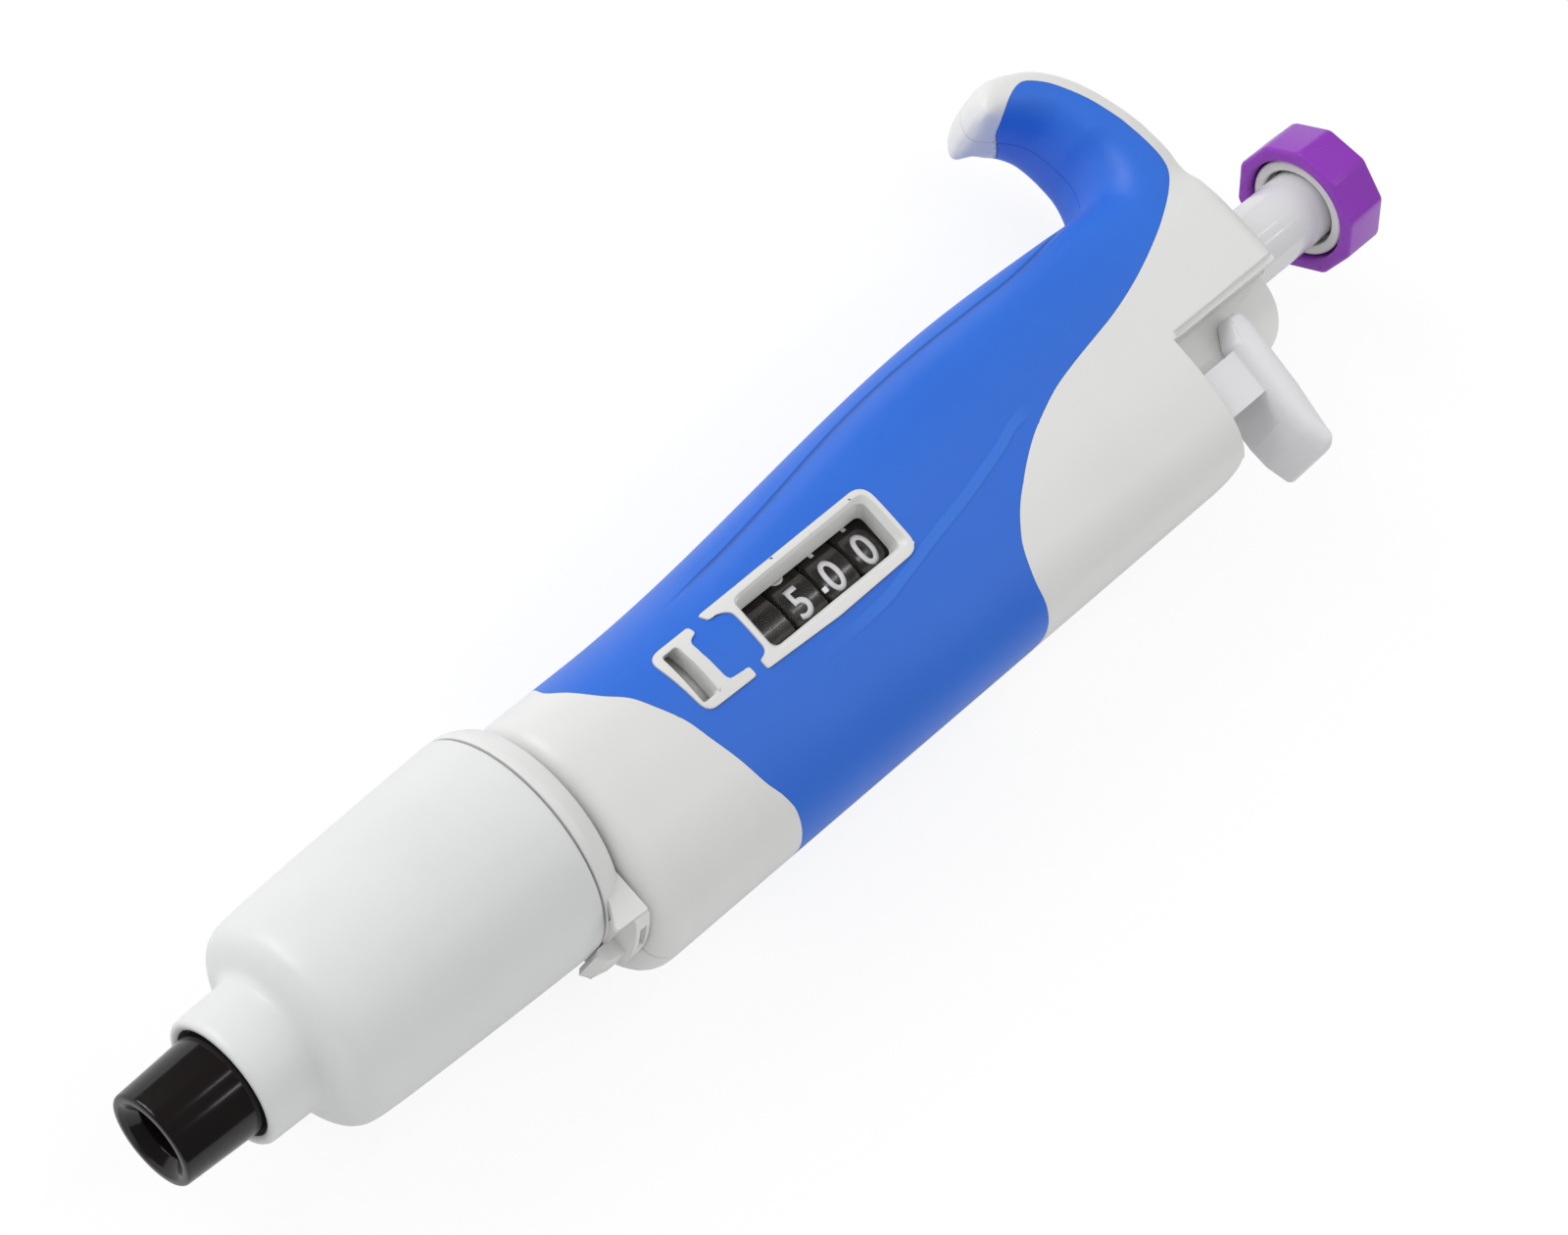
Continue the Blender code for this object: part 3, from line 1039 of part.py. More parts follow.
def main():
    """Builds the pipette on an empty that stands its back on the ground."""
    clear_scene()
    hook_top = max(y for _, y in HOOK_OUTER) * MM
    stand = bpy.data.objects.new("pipette", None)
    stand.location = (-TOTAL_LENGTH / 2, (LEVER_REACH - hook_top) / 2, HANDLE_BACK)
    bpy.context.scene.collection.objects.link(stand)

    white = finish("white_plastic", (0.80, 0.80, 0.80), 0.38)
    pale = finish("natural_plastic", (0.70, 0.70, 0.68), 0.45)
    grey = finish("lever_plastic", (0.72, 0.72, 0.73), 0.40)
    blue = finish("blue_rubber", (0.03, 0.14, 0.62), 0.50)
    purple = finish("purple_plastic", (0.26, 0.06, 0.46), 0.32)
    black = finish("black_plastic", (0.012, 0.011, 0.012), 0.25)
    clear = finish("clear_plastic", (0.90, 0.92, 0.94), 0.10)
    rubber = finish("seal_rubber", (0.02, 0.02, 0.02), 0.60)
    steel = finish("steel", (0.60, 0.60, 0.60), 0.30, 1.0)
    brass = finish("brass", (0.70, 0.52, 0.22), 0.32, 1.0)

    make_lower_end(black, white, pale)
    make_plunger(white, pale, steel, brass, rubber)
    make_button(purple, white)
    make_counter(white, black, pale, steel)
    make_ejector(grey, steel)
    make_handle(white, blue, clear, steel)


main()
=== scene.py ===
"""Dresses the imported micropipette: fine forms, finishes, camera and studio light.

Every form is made about the piston axis, in millimetres along it from the cone's mouth, and is then
set in the frame of the CAD. The hook points along +Y, the ejector lever along -Y and the display
faces +Z.
"""

import logging
import math
from contextlib import contextmanager
from dataclasses import dataclass
from enum import Enum
from typing import Callable, Iterator, Mapping, Optional, Sequence, Union

import bmesh
import bpy
import numpy as np
from mathutils import Matrix, Vector
from mathutils.bvhtree import BVHTree


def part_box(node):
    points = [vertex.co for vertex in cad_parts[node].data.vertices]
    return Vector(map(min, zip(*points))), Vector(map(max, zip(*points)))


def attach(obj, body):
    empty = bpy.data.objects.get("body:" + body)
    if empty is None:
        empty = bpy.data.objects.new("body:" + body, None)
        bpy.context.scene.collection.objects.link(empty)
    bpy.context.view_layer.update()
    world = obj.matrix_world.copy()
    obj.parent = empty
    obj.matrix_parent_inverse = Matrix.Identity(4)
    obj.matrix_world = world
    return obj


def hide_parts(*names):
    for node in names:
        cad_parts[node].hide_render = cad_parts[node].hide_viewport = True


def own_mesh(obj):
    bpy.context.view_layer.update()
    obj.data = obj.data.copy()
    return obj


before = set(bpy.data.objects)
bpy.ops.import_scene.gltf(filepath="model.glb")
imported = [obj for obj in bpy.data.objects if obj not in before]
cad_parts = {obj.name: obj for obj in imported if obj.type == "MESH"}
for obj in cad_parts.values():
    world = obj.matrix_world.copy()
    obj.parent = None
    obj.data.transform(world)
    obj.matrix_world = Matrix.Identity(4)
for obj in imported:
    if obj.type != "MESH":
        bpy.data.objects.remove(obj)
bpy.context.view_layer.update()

LOG = logging.getLogger("micropipette")

MM = 0.001
AXIS_PLACE = Vector((-115.6 * MM, -6.0 * MM, 17.3 * MM))
FAR = 60.0
TOUCH = 0.004
HANDLE_START = 65.5
SHELL_END = 300.0
WHITE = (1.0, 1.0, 1.0)
ROD_HOLE = 1.9

CREASE_LINE = (
    (27.6, 10.6), (38.7, 11.5), (45.9, 12.3), (53.6, 13.4), (62.1, 14.7), (69.8, 15.7), (77.2, 16.3),
    (84.1, 16.6), (96.2, 16.7), (106.0, 16.8), (121.9, 18.4),
)
RIDGE_LINE = (
    (29.4, -7.0), (38.8, -7.2), (45.6, -7.2), (53.0, -6.9), (57.7, -6.0), (62.1, -5.1), (67.2, -4.1),
    (72.2, -3.2), (76.7, -2.2), (82.5, -0.8), (87.4, 0.6),
)

Colour = tuple[float, float, float]
Point = tuple[float, float]
Place = tuple[float, float, float]
Line = Sequence[Point]
Profile = list[Point]
Ring = list[Place]
Solid = bpy.types.Object
Key = Union[str, int]
Sockets = Mapping[Key, object]


# Node trees


def arithmetic(operation: str, swapped: bool = False) -> Callable[["Signal", "Operand"], "Signal"]:
    """Makes a signal's method for an operation, with the signal second where it is swapped."""
    def method(self: "Signal", other: "Operand") -> "Signal":
        """Adds the operation's Math node."""
        first, second = (other, self) if swapped else (self, other)
        return self.wiring.maths(operation, first, second)
    return method


class Signal:
    """A node socket that Python can reckon with."""

    __add__ = arithmetic("ADD")
    __radd__ = arithmetic("ADD", swapped=True)
    __sub__ = arithmetic("SUBTRACT")
    __rsub__ = arithmetic("SUBTRACT", swapped=True)
    __mul__ = arithmetic("MULTIPLY")
    __rmul__ = arithmetic("MULTIPLY", swapped=True)
    __truediv__ = arithmetic("DIVIDE")

    def __init__(self, wiring: "NodeTree", socket: bpy.types.NodeSocket) -> None:
        """Keeps an output socket and the tree that it belongs to."""
        self.wiring = wiring
        self.socket = socket

    def ramped(self, low: float, high: float) -> "Signal":
        """Runs smoothly from 0 at the low value to 1 at the high one."""
        return self.wiring.signal(
            "ShaderNodeMapRange", {"interpolation_type": "SMOOTHSTEP"},
            {"Value": self, "From Min": low, "From Max": high, "To Min": 0.0, "To Max": 1.0},
        )


Operand = Union[Signal, float, int]


class NodeTree:
    """A node tree written in Python."""

    tree: bpy.types.NodeTree

    def node(self, kind: str, settings: Mapping[str, object], sockets: Sockets) -> bpy.types.Node:
        """Adds a node: first its settings, then the values or links of its input sockets."""
        made = self.tree.nodes.new(kind)
        for key, value in settings.items():
            setattr(made, key, value)
        for key, value in sockets.items():
            socket = made.inputs[key]
            source = value.socket if isinstance(value, Signal) else value
            if isinstance(source, bpy.types.NodeSocket):
                self.tree.links.new(source, socket)
            elif isinstance(source, tuple) and socket.type == "RGBA":
                socket.default_value = (*source, 1.0)
            else:
                socket.default_value = source
        return made

    def signal(self, kind: str, settings: Mapping[str, object], sockets: Sockets, output: Key = 0) -> Signal:
        """Adds a node and gives one of its outputs."""
        return Signal(self, self.node(kind, settings, sockets).outputs[output])

    def maths(self, operation: str, first: Operand, second: Operand = 0.0) -> Signal:
        """Adds one Math node for an operation on two values."""
        return self.signal("ShaderNodeMath", {"operation": operation}, {0: first, 1: second})


class Wiring(NodeTree):
    """The nodes of one material or world."""

    def __init__(
        self, owner: Union[bpy.types.Material, bpy.types.World], output: str = "ShaderNodeOutputMaterial",
    ) -> None:
        """Empties the owner's tree and gives it an output node."""
        owner.use_nodes = True
        self.tree = owner.node_tree
        self.tree.nodes.clear()
        self.output = self.tree.nodes.new(output)

    def place(self, scale: Place = (1.0, 1.0, 1.0)) -> Signal:
        """Gives the piece's own coordinates, stretched by a scale along each axis."""
        source = self.signal("ShaderNodeTexCoord", {}, {}, "Object")
        return self.signal("ShaderNodeMapping", {}, {"Vector": source, "Scale": scale})

    def along(self, axis: int) -> Signal:
        """Gives one of the piece's own coordinates, in metres."""
        source = self.signal("ShaderNodeTexCoord", {}, {}, "Object")
        return self.signal("ShaderNodeSeparateXYZ", {}, {0: source}, axis)

    def noise(self, scale: float, detail: float, where: Optional[Signal] = None) -> Signal:
        """Gives a noise between 0 and 1, with its lumps in a metre and how many finer layers it has."""
        place = where or self.place()
        return self.signal("ShaderNodeTexNoise", {}, {"Vector": place, "Scale": scale, "Detail": detail})

    def cells(self, scale: float) -> Signal:
        """Gives the distance to the nearest point of a random grid."""
        return self.signal("ShaderNodeTexVoronoi", {}, {"Vector": self.place(), "Scale": scale})

    def blend(self, share: Operand, first: object, second: object) -> Signal:
        """Mixes two colours by a share."""
        settings = {"data_type": "RGBA", "clamp_factor": True}
        return self.signal("ShaderNodeMix", settings, {0: share, 6: first, 7: second}, 2)

    def relief(self, height: Signal, depth: float, under: Optional[Signal] = None) -> Signal:
        """Turns a height between 0 and 1, with its depth in metres, into a bumped normal on another one."""
        sockets: dict[Key, object] = {"Height": height, "Distance": depth, "Strength": 1.0}
        if under is not None:
            sockets["Normal"] = under
        return self.signal("ShaderNodeBump", {}, sockets)

    def follow(self, place: Signal, line: Line) -> Signal:
        """Gives the side of a line at a place along it, both in millimetres."""
        span, middle, reach = 160.0, 0.5, 60.0
        made = self.node("ShaderNodeFloatCurve", {}, {"Value": place / span})
        curve = made.mapping.curves[0]
        points = [(x / span, y / reach + middle) for x, y in line]
        points = [(0.0, points[0][1])] + points + [(1.0, points[-1][1])]
        while len(curve.points) < len(points):
            curve.points.new(0.5, 0.5)
        for spot, point in zip(curve.points, points):
            spot.location = point
        made.mapping.update()
        return (Signal(self, made.outputs[0]) - middle) * reach

    def finish(self, shader: bpy.types.Node) -> None:
        """Ends the wiring in a shader."""
        self.tree.links.new(shader.outputs[0], self.output.inputs["Surface"])

    def close(self, sockets: Sockets) -> None:
        """Ends the wiring in a Principled shader with these sockets."""
        self.finish(self.node("ShaderNodeBsdfPrincipled", {}, sockets))


# Finishes

FINISHED: dict[str, bpy.types.Material] = {}


class Finish:
    """A finish that makes its material once."""

    name: str

    def material(self) -> bpy.types.Material:
        """Gives the material, made on its first use."""
        if self.name not in FINISHED:
            made = bpy.data.materials.new(self.name)
            self.wire(Wiring(made))
            FINISHED[self.name] = made
        return FINISHED[self.name]

    def wire(self, wiring: Wiring) -> None:
        """Writes the material's nodes."""
        raise NotImplementedError


@dataclass(frozen=True)
class MouldedPlastic(Finish):
    """Injection-moulded plastic with a fine spark-eroded skin, light handling marks and soft mottling."""

    name: str
    colour: Colour
    shade: Colour
    roughness: float = 0.36
    grain_depth: float = 0.012 * MM
    gloss: float = 0.5
    coat: float = 0.0

    def wire(self, wiring: Wiring) -> None:
        """Writes the plastic's nodes."""
        mottle = wiring.noise(38.0, 3.0).ramped(0.35, 0.75)
        speck = wiring.cells(1500.0).ramped(0.10, 0.02)
        dust = wiring.noise(210.0, 4.0).ramped(0.62, 0.74)
        base = wiring.blend(mottle * 0.55, self.colour, self.shade)
        marked = wiring.blend(speck * dust * 0.35, base, self.shade)
        scuffs = wiring.noise(420.0, 5.0, wiring.place((0.25, 1.0, 1.0))).ramped(0.58, 0.72)
        fingers = wiring.noise(70.0, 2.0).ramped(0.45, 0.70)
        rough = self.roughness + 0.10 * scuffs + 0.05 * fingers - 0.03 * mottle
        grain = wiring.noise(5200.0, 2.0) * 0.7 + wiring.noise(900.0, 2.0) * 0.3
        wiring.close({
            "Base Color": marked, "Roughness": rough, "Normal": wiring.relief(grain, self.grain_depth),
            "Specular IOR Level": self.gloss, "Coat Weight": self.coat, "Coat Roughness": 0.08,
        })


@dataclass(frozen=True)
class SoftGrip(Finish):
    """Soft-touch rubber with a matte skin that goes pale at a glance."""

    name: str
    colour: Colour
    worn: Colour
    roughness: float = 0.44
    # A creased grip also gets painted shade along its crease and ridge borders, and painted light on its
    # ridge band.
    creased: bool = False

    def wire(self, wiring: Wiring) -> None:
        """Writes the rubber's nodes."""
        mottle = wiring.noise(45.0, 3.0).ramped(0.30, 0.75)
        handled = wiring.noise(160.0, 5.0).ramped(0.60, 0.80)
        base = wiring.blend(mottle * 0.5 + handled * 0.10, self.colour, self.worn)
        pits = wiring.cells(1700.0).ramped(0.05, 0.45)
        skin = wiring.noise(3600.0, 3.0)
        rough = self.roughness + 0.07 * handled + 0.05 * wiring.noise(300.0, 3.0)
        normal = wiring.relief(skin * 0.6 + pits * 0.4, 0.014 * MM)
        if self.creased:
            groove_with_painted_shade, swell, ridge_band_with_painted_light, painted_border_shade = self.creases(wiring)
            # Painted shade: the crease's groove and the low ridge's borders darken the colour.
            base = wiring.blend(groove_with_painted_shade * 0.55 + painted_border_shade * 0.08, base, (0.008, 0.060, 0.320))
            # Painted light: the low ridge's band lightens the colour.
            base = wiring.blend(ridge_band_with_painted_light * 0.24, base, (0.060, 0.260, 0.860))
            shape = swell * 0.62 + (1.0 - groove_with_painted_shade) * 0.24 + ridge_band_with_painted_light * 0.10
            formed = wiring.relief(shape, 0.85 * MM)
            normal = wiring.relief(skin * 0.6 + pits * 0.4, 0.014 * MM, formed)
        wiring.close({
            "Base Color": base, "Roughness": rough, "Normal": normal,
            "Sheen Weight": 0.11, "Sheen Roughness": 0.42, "Sheen Tint": (0.78, 0.84, 1.0),
            "Specular IOR Level": 0.50,
        })

    def creases(self, wiring: Wiring) -> tuple[Signal, Signal, Signal, Signal]:
        """Gives the crease's groove and the swell beside it, and the low ridge's band and its borders; the
        groove and the borders also darken the colour as painted shade, and the band lightens it as painted
        light.
        """
        x = (wiring.along(0) - AXIS_PLACE.x) / MM - HANDLE_START
        y = (wiring.along(1) - AXIS_PLACE.y) / MM
        front = ((wiring.along(2) - AXIS_PLACE.z) / MM).ramped(3.0, 5.0)
        from_crease = wiring.maths("ABSOLUTE", y - wiring.follow(x, CREASE_LINE))
        present = x.ramped(27.0, 40.0) * front * (1.0 - x.ramped(112.0, 126.0))
        groove_with_painted_shade = (1.0 - from_crease.ramped(0.05, 0.42)) * present
        swell = 1.0 - (1.0 - from_crease.ramped(0.0, 3.2)) * present
        from_ridge = wiring.maths("ABSOLUTE", y - wiring.follow(x, RIDGE_LINE))
        shown = x.ramped(36.0, 56.0) * front * (1.0 - x.ramped(86.0, 92.0))
        # The ridge band also serves as painted light in the colour.
        ridge_band_with_painted_light = (1.0 - from_ridge.ramped(0.65, 1.0)) * shown
        # Painted shade: thin dark lines along both borders of the ridge band.
        edge = wiring.maths("ABSOLUTE", from_ridge - 0.95)
        painted_border_shade = (1.0 - edge.ramped(0.05, 0.28)) * shown
        return groove_with_painted_shade, swell, ridge_band_with_painted_light, painted_border_shade


@dataclass(frozen=True)
class PolishedPolymer(Finish):
    """Glossy black polymer with a trace of flow marks and fine wiping scratches."""

    name: str
    colour: Colour
    roughness: float = 0.10

    def wire(self, wiring: Wiring) -> None:
        """Writes the polymer's nodes."""
        flow = wiring.noise(90.0, 3.0, wiring.place((0.2, 1.0, 1.0))).ramped(0.35, 0.75)
        base = wiring.blend(flow * 0.6, self.colour, (0.016, 0.011, 0.010))
        wipes = wiring.noise(900.0, 4.0, wiring.place((1.0, 0.12, 0.12))).ramped(0.55, 0.75)
        rough = self.roughness + 0.06 * flow + 0.05 * wipes
        skin = wiring.noise(600.0, 2.0)
        wiring.close({
            "Base Color": base, "Roughness": rough, "Normal": wiring.relief(skin, 0.006 * MM),
            "Specular IOR Level": 0.40,
        })


@dataclass(frozen=True)
class TurnedMetal(Finish):
    """Metal turned on a lathe, with fine rings across the axis and dull patches."""

    name: str
    colour: Colour
    dull: Colour
    roughness: float = 0.24

    def wire(self, wiring: Wiring) -> None:
        """Writes the metal's nodes."""
        rings = wiring.noise(2600.0, 2.0, wiring.place((1.0, 0.02, 0.02)))
        film = wiring.noise(120.0, 4.0).ramped(0.45, 0.75)
        wiring.close({
            "Base Color": wiring.blend(film * 0.6, self.colour, self.dull), "Metallic": 1.0,
            "Roughness": self.roughness + 0.16 * film + 0.08 * rings,
            "Normal": wiring.relief(rings, 0.01 * MM),
        })


@dataclass(frozen=True)
class ClearLens(Finish):
    """Thin clear plastic that lets the wheels show and keeps a faint gloss."""

    name: str
    clarity: float = 0.988

    def wire(self, wiring: Wiring) -> None:
        """Writes the lens's nodes."""
        haze = wiring.noise(260.0, 4.0).ramped(0.45, 0.80)
        wiring.close({
            "Base Color": (0.30, 0.29, 0.28), "Roughness": 0.05 + 0.06 * haze,
            "Alpha": (1.0 - self.clarity) + 0.012 * haze, "Specular IOR Level": 0.5,
        })


@dataclass(frozen=True)
class PrintedInk(Finish):
    """Pad-printed ink with a slightly uneven edge of tone."""

    name: str
    colour: Colour

    def wire(self, wiring: Wiring) -> None:
        """Writes the ink's nodes."""
        patches = wiring.noise(1400.0, 3.0)
        wiring.close({
            "Base Color": wiring.blend(patches.ramped(0.4, 0.8) * 0.3, self.colour, (0.62, 0.62, 0.64)),
            "Roughness": 0.42 + 0.14 * patches, "Normal": wiring.relief(patches, 0.008 * MM),
        })


@dataclass(frozen=True)
class PorousFilter(Finish):
    """Pressed fibre of the cone filter."""

    name: str
    colour: Colour

    def wire(self, wiring: Wiring) -> None:
        """Writes the filter's nodes."""
        fibres = wiring.cells(2200.0)
        wiring.close({
            "Base Color": wiring.blend(fibres.ramped(0.1, 0.6), self.colour, (0.55, 0.54, 0.50)),
            "Roughness": 0.85 + 0.1 * fibres, "Normal": wiring.relief(fibres, 0.08 * MM),
        })


class Kit(Enum):
    """The finishes of the pipette."""

    WHITE = MouldedPlastic("white_moulding", (0.765, 0.765, 0.755), (0.720, 0.718, 0.700), 0.36)
    SLEEVE = MouldedPlastic("sleeve_moulding", (0.745, 0.755, 0.755), (0.700, 0.705, 0.700), 0.38)
    LEVER = MouldedPlastic("lever_moulding", (0.760, 0.760, 0.785), (0.715, 0.715, 0.735), 0.34)
    NATURAL = MouldedPlastic("natural_moulding", (0.640, 0.630, 0.590), (0.560, 0.550, 0.500), 0.42)
    PURPLE = MouldedPlastic("purple_moulding", (0.290, 0.045, 0.500), (0.255, 0.036, 0.450), 0.26, gloss=0.45)
    WHEEL = MouldedPlastic(
        "counter_wheel_moulding", (0.018, 0.013, 0.011), (0.034, 0.025, 0.021), 0.20, 0.004 * MM, 1.0, 0.4,
    )
    BLUE = SoftGrip("blue_soft_grip", (0.017, 0.146, 0.690), (0.022, 0.165, 0.740), creased=True)
    CONE = PolishedPolymer("black_cone_polymer", (0.007, 0.006, 0.007))
    STEM = MouldedPlastic("stem_moulding", (0.735, 0.735, 0.745), (0.700, 0.700, 0.705), 0.10, 0.004 * MM)
    SEAL = SoftGrip("seal_ring_rubber", (0.018, 0.018, 0.020), (0.030, 0.030, 0.032), 0.55)
    STEEL = TurnedMetal("turned_steel", (0.60, 0.60, 0.61), (0.42, 0.41, 0.40))
    BRASS = TurnedMetal("turned_brass", (0.72, 0.52, 0.22), (0.50, 0.34, 0.14))
    LENS = ClearLens("window_lens")
    INK = PrintedInk("numeral_ink", (0.86, 0.86, 0.87))
    FILTER = PorousFilter("filter_fibre", (0.70, 0.69, 0.66))

    def material(self) -> bpy.types.Material:
        """Gives the finish's material."""
        return self.value.material()


class Part(Enum):
    """The moving bodies that the pieces ride on."""

    HANDLE = "handle"
    STOP_STAGE = "stop_stage"
    PLUNGER = "plunger"
    KNOB = "knob"
    HUNDREDTHS = "hundredths"
    TENTHS = "tenths"
    ONES = "ones"
    EJECTOR = "ejector"


# Meshes


def add_object(name: str, data: bpy.types.ID) -> Solid:
    """Adds an object with its data to the scene."""
    made = bpy.data.objects.new(name, data)
    bpy.context.scene.collection.objects.link(made)
    return made


def drop(solid: Solid) -> None:
    """Removes a solid that was only a tool."""
    mesh = solid.data
    bpy.data.objects.remove(solid)
    bpy.data.meshes.remove(mesh)


def painted(solid: Solid, finish: Kit) -> Solid:
    """Gives a solid one finish all over."""
    solid.data.materials.clear()
    solid.data.materials.append(finish.material())
    return solid


def copied(solid: Solid, name: str, finish: Kit) -> Solid:
    """Copies a solid under a new name and finish."""
    return painted(add_object(name, solid.data.copy()), finish)


@contextmanager
def opened(mesh: bpy.types.Mesh) -> Iterator[bmesh.types.BMesh]:
    """Opens a mesh for editing and writes it back."""
    work = bmesh.new()
    work.from_mesh(mesh)
    yield work
    work.to_mesh(mesh)
    work.free()


def skinned(name: str, rings: Sequence[Ring], finish: Optional[Kit] = None, capped: bool = True) -> Solid:
    """Makes one closed skin over rings of equal length, given in millimetres about the axis.

    Both ends get a face, or else the last ring is joined to the first. A cutter has no finish.
    """
    work = bmesh.new()
    loops = [[work.verts.new(point) for point in ring] for ring in rings]
    pairs = list(zip(loops, loops[1:]))
    if not capped:
        pairs.append((loops[-1], loops[0]))
    for first, second in pairs:
        for index in range(len(first)):
            after = (index + 1) % len(first)
            work.faces.new((first[index], first[after], second[after], second[index]))
    if capped:
        work.faces.new(loops[0])
        work.faces.new(loops[-1])
    bmesh.ops.remove_doubles(work, verts=work.verts, dist=TOUCH)
    bmesh.ops.recalc_face_normals(work, faces=work.faces)
    for vertex in work.verts:
        vertex.co = vertex.co * MM + AXIS_PLACE
    mesh = bpy.data.meshes.new(name)
    work.to_mesh(mesh)
    work.free()
    mesh.shade_smooth()
    made = add_object(name, mesh)
    return painted(made, finish) if finish is not None else made


def circle(centre: Point, radius: float, sides: int, turn: float = 0.0) -> Profile:
    """Gives the points of a circle."""
    angles = [2 * math.pi * step / sides + turn for step in range(sides)]
    return [(centre[0] + radius * math.cos(a), centre[1] + radius * math.sin(a)) for a in angles]


def arc(centre: Point, radius: float, start: float, end: float, steps: int) -> Profile:
    """Gives the points of an arc between two angles in degrees."""
    angles = [math.radians(start + (end - start) * step / steps) for step in range(steps + 1)]
    return [(centre[0] + radius * math.cos(a), centre[1] + radius * math.sin(a)) for a in angles]


def filleted(corners: Sequence[tuple[float, ...]], closed: bool = True, segments: int = 5) -> Profile:
    """Rounds the corners of a profile, each by the radius that it may have as its third number."""
    straight = math.radians(176.0)
    longest = 0.49
    rounded: Profile = []
    count = len(corners)
    for index, corner in enumerate(corners):
        here = Vector(corner[:2])
        back = Vector(corners[index - 1][:2]) - here
        ahead = Vector(corners[(index + 1) % count][:2]) - here
        radius = corner[2] if len(corner) > 2 else 0.0
        inner = closed or 0 < index < count - 1
        if radius <= 0.0 or not inner or back.angle(ahead) > straight:
            rounded.append((here.x, here.y))
            continue
        reach = radius / math.tan(back.angle(ahead) / 2)
        reach = min(reach, longest * back.length, longest * ahead.length)
        first = here + back.normalized() * reach
        last = here + ahead.normalized() * reach
        for step in range(segments + 1):
            share = step / segments
            point = first.lerp(here, share).lerp(here.lerp(last, share), share)
            rounded.append((point.x, point.y))
    return rounded


def turned(
    name: str, profile: Line, finish: Optional[Kit] = None, sides: int = 112,
    centre: Point = (0.0, 0.0),
) -> Solid:
    """Turns a profile of (x, radius) points, which ends on the axis or goes round a hole, about X."""
    least = 1e-5
    rings = [[(x, y, z) for y, z in circle(centre, max(radius, least), sides)] for x, radius in profile]
    capped = profile[0][1] <= 0.0 and profile[-1][1] <= 0.0
    return skinned(name, rings, finish, capped)


def bore(name: str, start: float, end: float, radius: float, sides: int, side: float = 0.0) -> Solid:
    """Makes a round bar along X between two places."""
    return turned(name, ((start, 0.0), (start, radius), (end, radius), (end, 0.0)), None, sides, (side, 0.0))


def prism(name: str, outline: Line, low: float, high: float, finish: Optional[Kit] = None) -> Solid:
    """Extrudes an (x, y) outline from one height to another."""
    return skinned(name, [[(x, y, height) for x, y in outline] for height in (low, high)], finish)


def block(name: str, low: Place, high: Place) -> Solid:
    """Makes a box between two corners, as a cutter."""
    outline = ((low[0], low[1]), (high[0], low[1]), (high[0], high[1]), (low[0], high[1]))
    return prism(name, outline, low[2], high[2])


def drill(name: str, radius: float, x: float, y: float, low: float, high: float) -> Solid:
    """Makes a round bar along Z, used as a post or as a drill."""
    return prism(name, circle((x, y), radius, 48), low, high)


def baked(target: Solid) -> Solid:
    """Applies an object's modifiers to its mesh."""
    graph = bpy.context.evaluated_depsgraph_get()
    mesh = bpy.data.meshes.new_from_object(target.evaluated_get(graph), depsgraph=graph)
    old = target.data
    target.modifiers.clear()
    target.data = mesh
    mesh.name = target.name
    bpy.data.meshes.remove(old)
    return target


def tree_of(solid: Solid) -> BVHTree:
    """Gives a solid's faces as a tree for nearest-point questions."""
    mesh = solid.data
    return BVHTree.FromPolygons([v.co for v in mesh.vertices], [tuple(p.vertices) for p in mesh.polygons])


class Cut(Enum):
    """The ways of combining two solids."""

    LESS = "DIFFERENCE"
    WITH = "UNION"
    WITHIN = "INTERSECT"


def combine(target: Solid, tool: Solid, way: Cut = Cut.LESS) -> Solid:
    """Combines a solid with a tool, which is used up."""
    modifier = target.modifiers.new("combine", "BOOLEAN")
    modifier.solver = "MANIFOLD"
    modifier.operation = way.value
    modifier.object = tool
    baked(target)
    drop(tool)
    return target


def between(four: Sequence[np.ndarray], t: float) -> np.ndarray:
    """Gives the point at a share between the middle two of four points, on a smooth curve through them."""
    a, b, c, d = four
    square = (2 * a - 5 * b + 4 * c - d) * t ** 2
    cube = (3 * b - a - 3 * c + d) * t ** 3
    return 0.5 * (2 * b + (c - a) * t + square + cube)


def curve_through(points: Line, closed: bool, spacing: float) -> Profile:
    """Draws a smooth line through points, with new points so far apart."""
    drawn: Profile = []
    count = len(points)
    for index in range(count if closed else count - 1):
        places = [index + shift for shift in (-1, 0, 1, 2)]
        places = [place % count if closed else min(max(place, 0), count - 1) for place in places]
        four = [np.array(points[place]) for place in places]
        steps = max(1, round(float(np.linalg.norm(four[2] - four[1])) / spacing))
        for step in range(steps):
            point = between(four, step / steps)
            drawn.append((float(point[0]), float(point[1])))
    if not closed:
        drawn.append(tuple(points[-1]))
    return drawn


